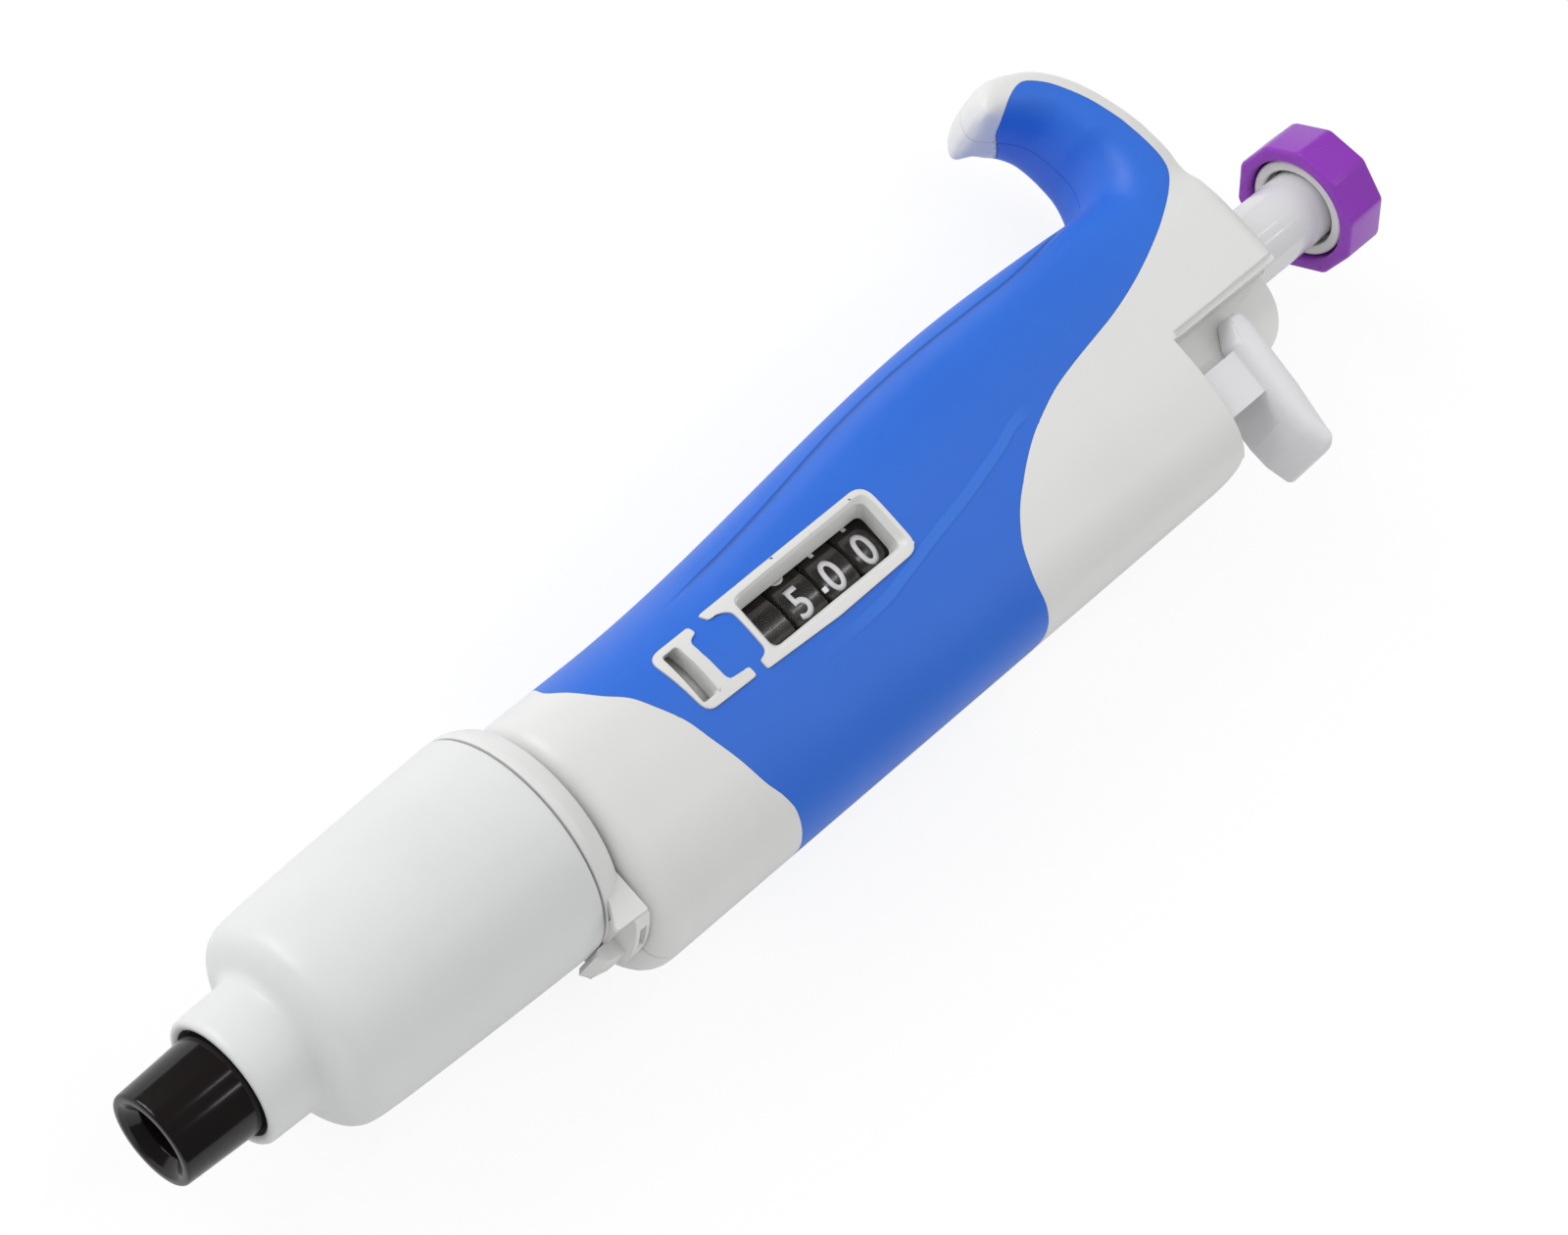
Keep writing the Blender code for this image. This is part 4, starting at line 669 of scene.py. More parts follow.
def soften(target: Solid, skin: BVHTree, width: float, seam: Line = ()) -> Solid:
    """Rounds a solid's sharp edges by a width where they lie on its visible skin and off the seam."""
    sharp = math.radians(33.0)
    near = 0.03 * MM
    weight = "bevel_weight_edge"
    seam_points = np.array(curve_through(seam, True, 0.2)) if len(seam) else np.zeros((0, 2))
    with opened(target.data) as work:
        bmesh.ops.remove_doubles(work, verts=work.verts, dist=0.05 * MM)
        bmesh.ops.dissolve_degenerate(work, edges=work.edges, dist=0.02 * MM)
        layer = work.edges.layers.float.get(weight) or work.edges.layers.float.new(weight)
        lies_on: dict[int, bool] = {}
        for edge in work.edges:
            if len(edge.link_faces) != 2 or edge.calc_face_angle(0.0) < sharp:
                continue
            for vertex in edge.verts:
                if vertex.index not in lies_on:
                    lies_on[vertex.index] = skin.find_nearest(vertex.co, near)[0] is not None
            on_skin = all(lies_on[vertex.index] for vertex in edge.verts)
            if on_skin and not all(beside(vertex.co, seam_points) for vertex in edge.verts):
                edge[layer] = 1.0
    modifier = target.modifiers.new("soften", "BEVEL")
    modifier.limit_method = "WEIGHT"
    modifier.width = width * MM
    modifier.segments = 2
    modifier.use_clamp_overlap = False
    modifier.harden_normals = False
    return baked(target)


def beside(place: Vector, line: np.ndarray, reach: float = 0.3) -> bool:
    """Tells whether a mesh point is beside a line, seen along Z."""
    if not len(line):
        return False
    here = (place - AXIS_PLACE) / MM
    return float(np.hypot(line[:, 0] - here.x, line[:, 1] - here.y).min()) < reach


def relaxed(target: Solid, centre: Place, reach: Place, rounds: int) -> Solid:
    """Moves a mesh's points towards their neighbours round a place, most at its centre."""
    mesh = target.data
    with opened(mesh) as work:
        bmesh.ops.triangulate(work, faces=[face for face in work.faces if len(face.verts) > 4])
    places = np.empty(len(mesh.vertices) * 3)
    mesh.vertices.foreach_get("co", places)
    places = places.reshape(-1, 3)
    edges = np.empty(len(mesh.edges) * 2, dtype=int)
    mesh.edges.foreach_get("vertices", edges)
    edges = edges.reshape(-1, 2)
    off = ((places - np.array(AXIS_PLACE)) / MM - np.array(centre)) / np.array(reach)
    share = np.clip(1.0 - (off ** 2).sum(1), 0.0, 1.0)
    share = np.minimum(1.0, share * 2.0)[:, None]
    count = np.bincount(edges.ravel(), minlength=len(places))[:, None]
    for _ in range(rounds):
        total = np.zeros_like(places)
        np.add.at(total, edges[:, 0], places[edges[:, 1]])
        np.add.at(total, edges[:, 1], places[edges[:, 0]])
        places += (total / count - places) * 0.5 * share
    mesh.vertices.foreach_set("co", places.ravel())
    mesh.update()
    return target


def smoothed(target: Solid, angle: float = 32.0, even: bool = False) -> Solid:
    """Shades a piece smoothly apart from its edges past an angle, with large faces leading if even."""
    target.data.shade_smooth()
    target.data.set_sharp_from_angle(angle=math.radians(angle))
    if even:
        modifier = target.modifiers.new("even", "WEIGHTED_NORMAL")
        modifier.keep_sharp = True
        baked(target)
    return target


def settle(piece: Solid, part: Part, slot: str, *nodes: str) -> Solid:
    """Sets a finished piece on its body in place of the CAD nodes; the material slot that it is given is not
    used.
    """
    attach(piece, part.value)
    if nodes:
        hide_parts(*nodes)
    LOG.info("%s: %d faces on %s", piece.name, len(piece.data.polygons), part.value)
    return piece


# Geometry Nodes


class Graph(NodeTree):
    """A Geometry Nodes tree written in Python."""

    def __init__(self, name: str, values: Mapping[str, float]) -> None:
        """Starts an empty tree whose named inputs have values."""
        self.tree = bpy.data.node_groups.new(name, "GeometryNodeTree")
        for side in ("INPUT", "OUTPUT"):
            self.tree.interface.new_socket(name="Geometry", in_out=side, socket_type="NodeSocketGeometry")
        for key, value in values.items():
            self.tree.interface.new_socket(
                name=key, in_out="INPUT", socket_type="NodeSocketFloat",
            ).default_value = value
        self.source = self.tree.nodes.new("NodeGroupInput")
        self.sink = self.tree.nodes.new("NodeGroupOutput")

    def given(self, name: str) -> Signal:
        """Gives a named input."""
        return Signal(self, self.source.outputs[name])

    def made(self, name: str, geometry: Signal, finish: Kit) -> Solid:
        """Ends the tree and makes its result a plain mesh, in metres in the frame of the CAD."""
        whole = self.signal("GeometryNodeRealizeInstances", {}, {0: geometry})
        sockets = {"Geometry": whole, "Material": finish.material()}
        coated = self.signal("GeometryNodeSetMaterial", {}, sockets)
        self.tree.links.new(coated.socket, self.sink.inputs[0])
        carrier = add_object(name + "_carrier", bpy.data.meshes.new(name + "_carrier"))
        modifier = carrier.modifiers.new("graph", "NODES")
        modifier.node_group = self.tree
        graph = bpy.context.evaluated_depsgraph_get()
        mesh = bpy.data.meshes.new_from_object(carrier.evaluated_get(graph), depsgraph=graph)
        carrier.modifiers.clear()
        bpy.data.objects.remove(carrier)
        bpy.data.node_groups.remove(self.tree)
        mesh.name = name
        mesh.transform(Matrix.Translation(AXIS_PLACE) @ Matrix.Scale(MM, 4))
        return smoothed(add_object(name, mesh))


# Lower end


def turned_piece(
    name: str, profile: Line, finish: Kit, part: Part, slot: str, node: str, sides: int = 112,
    angle: float = 40.0,
) -> None:
    """Turns a piece and sets it on its body in place of a CAD node."""
    settle(smoothed(turned(name, profile, finish, sides), angle), part, slot, node)


@dataclass
class LowerEnd:
    """The tip cone."""

    length: float = 30.0
    mouth_radius: float = 6.85
    top_radius: float = 7.45
    flange_radius: float = 11.9
    bore_radius: float = 4.0
    throat_radius: float = 2.0
    bore_end: float = 17.0

    def build(self) -> None:
        """Makes the glossy tip cone."""
        end, mouth, top, flange = self.length, self.mouth_radius, self.top_radius, self.flange_radius
        throat, hole, hole_end = self.throat_radius, self.bore_radius, self.bore_end
        profile = filleted((
            (0.0, mouth, 0.75), (end * 0.38, top - 0.06, 3.0), (22.6, top, 1.2), (26.9, flange, 0.8),
            (end, flange, 0.3), (end, throat), (hole_end, throat), (hole_end, hole), (1.9, hole, 0.5),
            (0.45, mouth - 1.7, 0.4), (0.0, mouth - 1.1, 0.3),
        ))
        turned_piece("tip_cone_polished", profile, Kit.CONE, Part.HANDLE, "black_plastic", "tip_cone", 128)


# Ejector carriage


@dataclass
class Carriage:
    """The ejector sleeve, its ring with the side lug, and the thumb lever."""

    ring_end: float = 65.0
    lug_half_width: float = 6.0
    lug_upper_width: float = 2.0
    lug_start: float = 58.8
    lug_side: float = -19.6
    lug_flank: float = 59.6
    ear_radius: float = 20.5
    ear_top: float = 10.2
    rod_side: float = -17.4
    pad_start: float = 192.4
    pad_thickness: float = 3.6
    pad_root_side: float = -6.6
    pad_reach: float = -30.2
    pad_low: float = -3.2
    pad_high: float = 10.6
    arm_low: float = 6.6
    arm_high: float = 9.0
    neck_clearance: float = -14.5

    def sleeve(self) -> None:
        """Makes the ejector sleeve with its collar and soft shoulder."""
        outside = (
            (11.3, 8.75), (11.42, 9.1), (11.8, 9.36), (12.5, 9.42), (15.4, 9.5), (18.6, 9.62), (19.6, 9.8),
            (20.15, 10.3), (20.5, 11.1), (20.8, 12.1), (21.2, 13.15), (21.7, 14.0), (22.4, 14.72),
            (23.4, 15.2), (24.9, 15.46), (26.6, 15.6), (29.4, 15.78), (34.0, 16.0), (42.0, 16.35),
            (52.0, 16.72), (60.2, 16.98),
        )
        rim = [(60.5, 16.92), (60.7, 16.7)]
        inside = [
            (60.7, 15.5), (43.0, 14.85), (25.7, 13.8), (23.2, 12.9), (22.2, 8.2), (11.6, 8.0), (11.35, 8.3),
        ]
        profile = curve_through(outside, False, 0.55) + rim + inside
        turned_piece(
            "ejector_sleeve_shell", profile, Kit.SLEEVE, Part.EJECTOR, "white_plastic", "ejector_sleeve",
            160, 38.0,
        )

    def ring(self) -> None:
        """Makes the ejector ring with its side lug."""
        profile = filleted((
            (58.1, 14.4), (58.1, 15.2, 0.2), (61.0, 15.2), (61.0, 16.98, 0.25), (62.2, 16.92, 2.0),
            (63.6, 16.35, 2.0), (64.7, 15.75, 0.6), (65.0, 15.1, 0.3), (65.0, 14.4, 0.2), (62.2, 14.4, 0.5),
        ))
        ring = turned("ejector_ring_band", profile, Kit.WHITE, 160)
        combine(ring, self.ear(), Cut.WITH)
        combine(ring, skinned("lug", self.lug_rings(), Kit.WHITE), Cut.WITH)
        combine(ring, block("lug_slot", (63.3, -22.0, 3.4), (64.5, -18.7, 7.8)))
        settle(smoothed(ring, 30.0), Part.EJECTOR, "white_plastic", "ejector_ring")

    def ear(self) -> Solid:
        """Makes the lug's upper half: a thin flat top over an arc about the axis, with a rib between them."""
        bend, flank, top, end = self.ear_radius, self.lug_flank, self.ear_top, self.ring_end
        inner = 15.0
        arched = painted(bore("ear", flank + 3.0, end, bend, 160), Kit.WHITE)
        area = block("ear_area", (flank, -bend - 1.0, -1.0), (end + 1.0, -8.0, top - 0.4))
        combine(arched, area, Cut.WITHIN)
        outline = filleted((
            (end, -9.0), (end, -17.6, 0.3), (flank, -17.3, 0.5), (flank + 1.9, -14.0, 1.5),
            (flank + 2.6, -9.0),
        ))
        combine(arched, prism("ear_plate", outline, top - 1.0, top), Cut.WITH)
        rib = block("ear_rib", (flank + 1.6, -17.2, 2.0), (flank + 3.2, -15.5, top - 0.5))
        combine(arched, rib, Cut.WITH)
        return combine(arched, bore("ear_bore", flank - 2.0, end + 2.0, inner, 96))

    def lug_rings(self) -> list[Ring]:
        """Gives the side lug's sections, which round off towards its two flanks."""
        start, end, side = self.lug_start, self.ring_end, self.lug_side
        outline = (
            (61.0, -15.2), (61.0, -17.0), (59.8, -17.0), (start, -17.7), (60.0, -19.0), (62.0, side),
            (end, side), (end, -15.2),
        )
        rings = []
        for share, draw in ((-1.0, 0.5), (-0.94, 0.15), (-0.8, 0.0), (0.8, 0.0), (0.94, 0.15), (1.0, 0.5)):
            height = share * (self.lug_half_width if share < 0 else self.lug_upper_width)
            low, high = start + draw, end - draw * 0.5
            rings.append([(min(max(x, low), high), max(y, side + draw), height) for x, y in outline])
        return rings

    def lever(self) -> None:
        """Makes the thumb lever: its arm, its block on the rod and its rounded pad."""
        start, thick, root, reach = self.pad_start, self.pad_thickness, self.pad_root_side, self.pad_reach
        outline = filleted((
            (start - 0.3 * thick, root - 3.2, 1.5), (start + 0.42 * thick, root + 0.2, 1.6),
            (start + 1.1 * thick, root + 0.1, 1.1), (start + 1.22 * thick, root - 2.0, 2.0),
            (start + 0.9 * thick, reach + 10.0, 8.0), (start + 0.48 * thick, reach + 2.9, 1.9),
            (start + 0.02 * thick, reach, 1.2), (start - 0.26 * thick, reach + 0.5, 0.8),
            (start - 0.54 * thick, reach + 4.2, 3.0), (start - 0.56 * thick, reach + 7.5, 4.0),
        ), segments=6)
        pad = skinned("ejector_thumb_lever", self.pad_rings(outline), Kit.LEVER)
        arm = block("arm", (170.25, -17.9, self.arm_low), (start + 1.0, -10.7, self.arm_high))
        riser = block("riser", (170.35, -17.8, 4.1), (179.15, -15.4, self.arm_low + 0.5))
        seat = block("seat", (170.25, -19.5, -3.0), (179.25, -15.3, 4.6))
        for tool in (arm, riser, seat):
            combine(pad, tool, Cut.WITH)
        combine(pad, bore("rod_hole", 150.0, 175.55, ROD_HOLE, 24, self.rod_side))
        settle(smoothed(pad, 34.0), Part.EJECTOR, "lever_plastic", "ejector_lever")

    def pad_rings(self, outline: Profile) -> list[Ring]:
        """Gives the pad's sections along Z, drawn in at both ends and clear of the neck below the arm."""
        middle = Vector((sum(x for x, _ in outline), sum(y for _, y in outline))) / len(outline)
        rings = []
        for depth, draw in ((0.0, 1.0), (0.1, 0.6), (0.35, 0.26), (0.8, 0.05), (1.2, 0.0)):
            rings.append(self.clear_of_neck(self.drawn(outline, middle, draw, self.pad_low + depth)))
        rings.append(self.clear_of_neck(self.drawn(outline, middle, 0.0, self.arm_low - 0.3)))
        rings.append(self.drawn(outline, middle, 0.0, self.arm_low))
        for depth, draw in ((2.6, 0.0), (1.7, 0.09), (1.0, 0.28), (0.5, 0.6), (0.18, 1.0), (0.0, 1.6)):
            rings.append(self.drawn(outline, middle, draw, self.pad_high - depth))
        return rings

    def clear_of_neck(self, ring: Ring) -> Ring:
        """Keeps a section away from the handle's neck."""
        limit, give = self.neck_clearance, 0.02
        return [(x, limit + (y - limit) * give if y > limit else y, z) for x, y, z in ring]

    def drawn(self, outline: Profile, middle: Vector, draw: float, z: float) -> Ring:
        """Draws an outline in towards its long middle line by a length."""
        ring: Ring = []
        shorter = 1.0 - 2 * draw / (self.pad_root_side - self.pad_reach)
        least, broad = 0.4, 1.6
        for x, y in outline:
            across = x - middle.x
            reach = max(abs(across), least)
            shift = min(draw * min(1.0, reach / broad), reach)
            ring.append((x - math.copysign(shift, across), middle.y + (y - middle.y) * shorter, z))
        return ring

    def build(self) -> None:
        """Builds the carriage."""
        self.sleeve()
        self.ring()
        self.lever()


# Handle


def eased(share: float) -> float:
    """Runs smoothly from 0 to 1."""
    share = min(1.0, max(0.0, share))
    return share * share * (3 - 2 * share)


# How far apart the sections of a form are, and how many points each has over its front and its back
FINE = (0.6, 128, 76)
COARSE = (2.0, 60, 50)
BEZEL_FINE = (0.6, 128, 12)
BEZEL_COARSE = (1.0, 100, 12)


@dataclass
class Handle:
    """The two white shells with the finger hook, the blue grip on both sides, and the case screws."""

    start: float = 65.5
    length: float = 141.2
    end_round: float = 3.4
    back: float = 17.3
    hook_side: float = 14.0
    hook_swell: float = 5.5
    hook_fall: float = 1.1
    ejector_side: float = 24.0
    front: float = 14.3
    front_fall: float = 1.9
    squareness: float = 2.1
    squareness_rise: float = 1.1
    edge_round: float = 0.24
    wall: float = 2.8
    grip_wall: float = 1.2
    gap: float = 0.10
    seam: float = 0.05
    hook_widths: tuple[float, ...] = (12.0, 11.5, 10.6, 9.7, 9.0, 8.6, 8.3, 7.9, 7.5, 7.1, 5.6)
    hook_roundness: Point = (0.66, 0.84)
    neck_side: float = -13.9
    neck_corner: float = 9.1
    panel_corner: float = 5.5
    screw_hole: float = 1.6
    sink_radius: float = 2.6
    rod_side: float = -17.4
    front_cuts: tuple[tuple[str, Place, Place], ...] = (
        ("bay", (182.2, -FAR, 6.3), (SHELL_END, -4.5, FAR)),
        ("ledge", (183.0, -5.0, 11.85), (SHELL_END, -3.6, FAR)),
        ("slit", (163.95, -18.2, 6.3), (184.2, -10.4, 9.3)),
        ("window", (100.0, -3.9, 0.0), (128.4, 7.0, FAR)),
        ("slot", (88.0, -2.3, 0.0), (90.6, 5.6, FAR)),
    )
    grip_lower_edge: tuple[Point, ...] = (
        (11.5, 30.0), (11.5, 14.3), (9.6, 12.2), (10.8, 10.0), (12.9, 6.7), (15.2, 4.2), (17.0, 1.0),
        (18.9, -2.6), (20.1, -6.4), (21.6, -10.7), (23.0, -15.0), (24.6, -18.1), (25.5, -21.6), (25.1, -32.0),
    )
    grip_upper_edge: tuple[Point, ...] = (
        (73.4, -32.0), (73.8, -22.3), (73.6, -17.6), (74.7, -13.5), (76.4, -10.9), (78.7, -8.5), (81.6, -6.3),
        (84.7, -4.2), (88.1, -2.3), (91.9, -0.7), (96.1, 0.75), (100.9, 1.8), (106.1, 2.7), (111.3, 3.6),
        (116.2, 4.8), (120.7, 6.2), (125.2, 7.9), (129.7, 9.9), (134.6, 12.7), (137.6, 15.6), (138.2, 20.0),
        (137.6, 25.7), (136.4, 30.4), (134.3, 34.6), (132.4, 36.9), (130.4, 38.2), (128.0, 37.9),
        (125.8, 36.6), (124.9, 34.8), (124.6, 29.0), (108.0, 27.0), (104.0, 30.0),
    )
    hook_outer: tuple[Point, ...] = (
        (139.9, 8.0), (142.8, 15.9), (142.5, 22.0), (141.4, 28.3), (138.9, 34.6), (135.0, 39.2),
        (130.4, 41.5), (127.0, 42.2), (124.2, 41.0), (123.0, 39.3), (122.7, 38.2),
    )
    hook_inner: tuple[Point, ...] = (
        (120.0, 8.0), (127.6, 17.2), (130.4, 22.6), (130.4, 27.0), (129.6, 30.6), (128.2, 32.7),
        (126.6, 34.1), (125.4, 35.0), (124.4, 35.7), (123.5, 36.4), (122.9, 37.2),
    )
    screw_places: tuple[Point, ...] = ((30.9, -10.4), (74.7, 11.0), (109.6, 10.5))

    @property
    def end(self) -> float:
        """The handle's upper end."""
        return self.start + self.length

    def placed(self, points: Line) -> Profile:
        """Turns outline points, given from the handle's lower end, into places along the pipette."""
        return [(self.start + x, y) for x, y in points]

    def sides(self, x: float) -> tuple[float, float, float, float]:
        """Gives the reach towards the hook, the ejector and the front, and the section's squareness."""
        share = (x - self.start) / self.length
        swollen = self.hook_swell * eased((share - 0.12) / 0.56)
        fallen = self.hook_fall * eased((share - 0.68) / 0.32)
        front = self.front - self.front_fall * eased((share - 0.45) / 0.55)
        squareness = self.squareness + self.squareness_rise * eased((share - 0.05) / 0.7)
        return self.hook_side + swollen - fallen, self.ejector_side, front, squareness

    def section(self, x: float, inset: float, front_points: int, back_points: int) -> Ring:
        """Gives a section of the handle, drawn in and evenly spaced over its front and over its back."""
        hook, ejector, front, squareness = self.sides(x)
        back_squareness, back_swell, fineness = 2.7, 1.015, 721
        ring: Ring = []
        for upper, count in ((True, front_points), (False, back_points)):
            angles = np.linspace(0.0, np.pi, fineness) + (0.0 if upper else np.pi)
            across = np.cos(angles)
            power = 2 / (squareness if upper else back_squareness)
            reach = np.where(across >= 0, hook, ejector) - inset
            height = (front if upper else self.back * back_swell) - inset
            y = np.sign(across) * np.abs(across) ** power * reach
            z = (1.0 if upper else -1.0) * np.abs(np.sin(angles)) ** power * height
            z = np.maximum(z, inset - self.back)
            along = np.concatenate(([0.0], np.cumsum(np.hypot(np.diff(y), np.diff(z)))))
            wanted = np.linspace(0.0, along[-1], count, endpoint=False)
            even = zip(np.interp(wanted, along, y), np.interp(wanted, along, z))
            ring += [(x, float(a), float(b)) for a, b in even]
        return ring

    def body(
        self, name: str, inset: float, spacing: float, front_points: int, back_points: int,
        part: Optional[Point] = None,
    ) -> Solid:
        """Makes the handle's outer form with its hook, or a part of it between two places without the hook.

        The form is drawn in by the inset, and its sections are so far apart and have so many points.
        """
        steps = 7
        stations: list[Point] = []
        tail: list[Point] = []
        first, last = part or (self.start + inset, self.end - inset)
        if part is None:
            low, high = self.end_round, self.end_round * 0.8
            stations = arc((first + low, inset + low), low, 180.0, 270.0, steps)[:-1]
            tail = arc((last - high, inset + high), high, -90.0, 0.0, steps)[1:]
            first += low
            last -= high
        count = max(2, round((last - first) / spacing))
        stations += [(first + (last - first) * step / count, inset) for step in range(count + 1)]
        rings = [self.section(x, draw, front_points, back_points) for x, draw in stations + tail]
        solid = skinned(name, rings)
        if part is None:
            hook = self.hook_rings(inset, spacing, max(24, front_points // 2))
            combine(solid, skinned(name + "_hook", hook), Cut.WITH)
        return solid

    def hook_rings(self, inset: float, spacing: float, sides: int) -> list[Ring]:
        """Gives the finger hook's sections from its root in the handle to its tip."""
        pairs = np.hstack((np.array(self.placed(self.hook_outer)), np.array(self.placed(self.hook_inner))))
        last = len(pairs) - 1
        length, thinnest = 75.0, 0.25
        rings = []
        for place in np.linspace(0, last, max(20, round(length / spacing))):
            index = min(int(place), last - 1)
            four = [pairs[min(max(index + shift, 0), last)] for shift in (-1, 0, 1, 2)]
            row = between(four, place - index)
            far = Vector((row[0], row[1], 0.0))
            near = Vector((row[2], row[3], 0.0))
            outward = (far - near).normalized()
            half = max((far - near).length / 2 - inset, thinnest)
            width = float(np.interp(place, np.arange(last + 1), self.hook_widths)) - inset
            ring = []
            for across, upright in circle((0.0, 0.0), 1.0, sides):
                power = self.hook_roundness[0 if across > 0 else 1]
                shift = outward * math.copysign(abs(across) ** power, across) * half
                point = (far + near) / 2 + shift
                ring.append((point.x, point.y, math.copysign(abs(upright) ** power, upright) * width))
            rings.append(ring)
        return rings

    def grip_outline(self) -> Profile:
        """Gives the grip moulding's outline, smooth along both of its edges."""
        lower = curve_through(self.placed(self.grip_lower_edge[1:]), False, 0.8)
        upper = curve_through(self.placed(self.grip_upper_edge[:-2]), False, 0.8)
        corners = self.placed((self.grip_lower_edge[0],))
        ends = self.placed(self.grip_upper_edge[-2:])
        return corners + lower + upper + ends

    def grip_cutter(self, name: str, distance: float, low: float, high: float) -> Solid:
        """Makes the grip's area between two heights, with its outline moved outwards by a distance.

        Its end on the hook leans towards the handle at the back.
        """
        lean, level, limit, run, hook_side = 0.39, 3.0, -7.5, 5.5, 33.0
        edge = self.start + 131.0
        heights = sorted({low, high, *(z for z in (limit, -2.5, 0.5, level) if low < z < high)})
        rings = []
        for height in heights:
            push = lean * (level - min(level, max(limit, height)))
            outline = []
            for x, y in self.grip_outline():
                near = min(1.0, max(0.0, (edge - x) / run)) if y > hook_side else 0.0
                outline.append((x + push * near, y))
            rings.append([(x, y, height) for x, y in self.shifted(outline, distance)])
        return skinned(name, rings)

    def shifted(self, outline: Profile, distance: float) -> Profile:
        """Moves each side of an outline outwards by a distance."""
        points = [Vector(point) for point in outline]
        area = sum(a.x * b.y - b.x * a.y for a, b in zip(points, points[1:] + points[:1]))
        turn = 1.0 if area > 0 else -1.0
        moved = []
        for index, here in enumerate(points):
            before = (here - points[index - 1]).normalized()
            after = (points[(index + 1) % len(points)] - here).normalized()
            normal = Vector((before.y + after.y, -before.x - after.x)) * turn
            share = max(0.5, normal.length / 2) * normal.length
            moved.append(tuple(here + normal * (distance / share)))
        return moved

    def half(self, sign: float) -> Point:
        """Gives the lowest and the highest place of the front half (1) or the back half (-1)."""
        return (self.gap / 2, FAR) if sign > 0 else (-FAR, -self.gap / 2)

    def hollow(self) -> Solid:
        """Makes the handle's cavity with its posts, guide and spring seat left standing."""
        low, high, steps, post = 70.2, 179.85, 24, 3.4
        places = [low + (high - low) * step / steps for step in range(steps + 1)]
        rings = [self.section(x, self.wall, 40, 40) for x in places]
        cavity = skinned("hollow", rings)
        for index, (x, y) in enumerate(self.placed(self.screw_places)):
            combine(cavity, drill(f"post_{index}", post, x, y, -FAR, FAR))
        combine(cavity, block("guide", (165.2, -10.1, -FAR), (168.2, FAR, FAR)))
        combine(cavity, block("spring_seat", (129.7, -FAR, -FAR), (132.7, -11.7, FAR)))
        return cavity

    def neck_outline(self) -> Profile:
        """Gives the corner that is cut away beside the neck."""
        neck, bend, panel_side = self.end - 22.5, self.panel_corner, -18.6
        centre = (self.end - self.neck_corner - 1.0, self.neck_corner + self.neck_side)
        outline = [(neck - bend, -FAR), *arc((neck - bend, panel_side), bend, -90.0, 0.0, 12)]
        outline += [(neck, self.neck_side), *arc(centre, self.neck_corner, -90.0, 0.0, 24)]
        return outline + [(self.end + FAR, centre[1]), (self.end + FAR, -FAR)]

    def shell(self, side: str, sign: float, coat: Solid) -> Solid:
        """Makes one white shell, the front (1) or the back (-1), from a copy of the dense outer form."""
        low, high = self.half(sign)
        shell = copied(coat, f"handle_{side}_moulding", Kit.WHITE)
        combine(shell, block("half", (-FAR, -FAR, low), (SHELL_END, FAR, high)), Cut.WITHIN)
        recess = self.grip_cutter("recess", self.seam / 2, low - 1.0, high + 1.0)
        combine(recess, self.body("recess_floor", self.grip_wall + 0.1, *COARSE))
        combine(shell, recess)
        combine(shell, self.hollow())
        combine(shell, bore("core_hole", 0.0, 70.5, 10.5, 96))
        combine(shell, bore("stem_hole", 164.9, 260.0, 6.0, 96))
        combine(shell, bore("rod_hole", 0.0, 133.0, ROD_HOLE, 32, self.rod_side))
        combine(shell, prism("neck", self.neck_outline(), -2 * FAR, 2 * FAR))
        for index, (x, y) in enumerate(self.placed(self.screw_places)):
            bottom, top = (-0.3, 7.3) if sign > 0 else (-FAR, 0.3)
            combine(shell, drill(f"drill_{index}", self.screw_hole, x, y, bottom, top))
            if sign < 0:
                combine(shell, drill(f"sink_{index}", self.sink_radius, x, y, -FAR, -11.2))
        if sign > 0:
            for name, start, end in self.front_cuts:
                combine(shell, block(name, start, end))
        return shell

    def grip(self, side: str, sign: float, coat: Solid, bezels: Sequence[Profile]) -> Solid:
        """Makes one blue grip, the front (1) round the bezels or the back (-1) round the screws."""
        grip = copied(coat, f"grip_{side}_moulding", Kit.BLUE)
        combine(grip, self.grip_cutter("area", -self.seam / 2, *self.half(sign)), Cut.WITHIN)
        combine(grip, self.body("grip_floor", self.grip_wall, *COARSE))
        if sign > 0:
            for outline in bezels:
                combine(grip, prism("bezel_hole", self.shifted(outline, self.seam), 0.0, FAR))
        else:
            for index, (x, y) in enumerate(self.placed(self.screw_places)):
                combine(grip, drill(f"grip_sink_{index}", self.sink_radius + 0.3, x, y, -FAR, -0.3))
        return grip

    def build(self) -> None:
        """Builds both shells, both grips, the display and the screws."""
        coat = self.body("coat", 0.0, *FINE)
        root, tip = self.placed(((130.5, 17.0), (123.4, 37.8)))
        relaxed(coat, (*root, 7.0), (13.0, 10.0, 11.0), 45)
        relaxed(coat, (*tip, 0.0), (6.0, 6.0, 11.0), 30)
        skin = tree_of(coat)
        grip_area = self.grip_outline()
        display = Display(self)
        bezels = (display.frame_outline(), display.dial_outline())
        for side, sign in (("front", 1.0), ("back", -1.0)):
            shell = soften(self.shell(side, sign, coat), skin, self.edge_round, grip_area)
            settle(smoothed(shell), Part.HANDLE, "white_plastic", f"handle_{side}_shell")
            grip = self.grip(side, sign, coat, bezels)
            settle(smoothed(grip), Part.HANDLE, "blue_rubber", f"grip_{side}")
        drop(coat)
        display.build()
        self.screws()

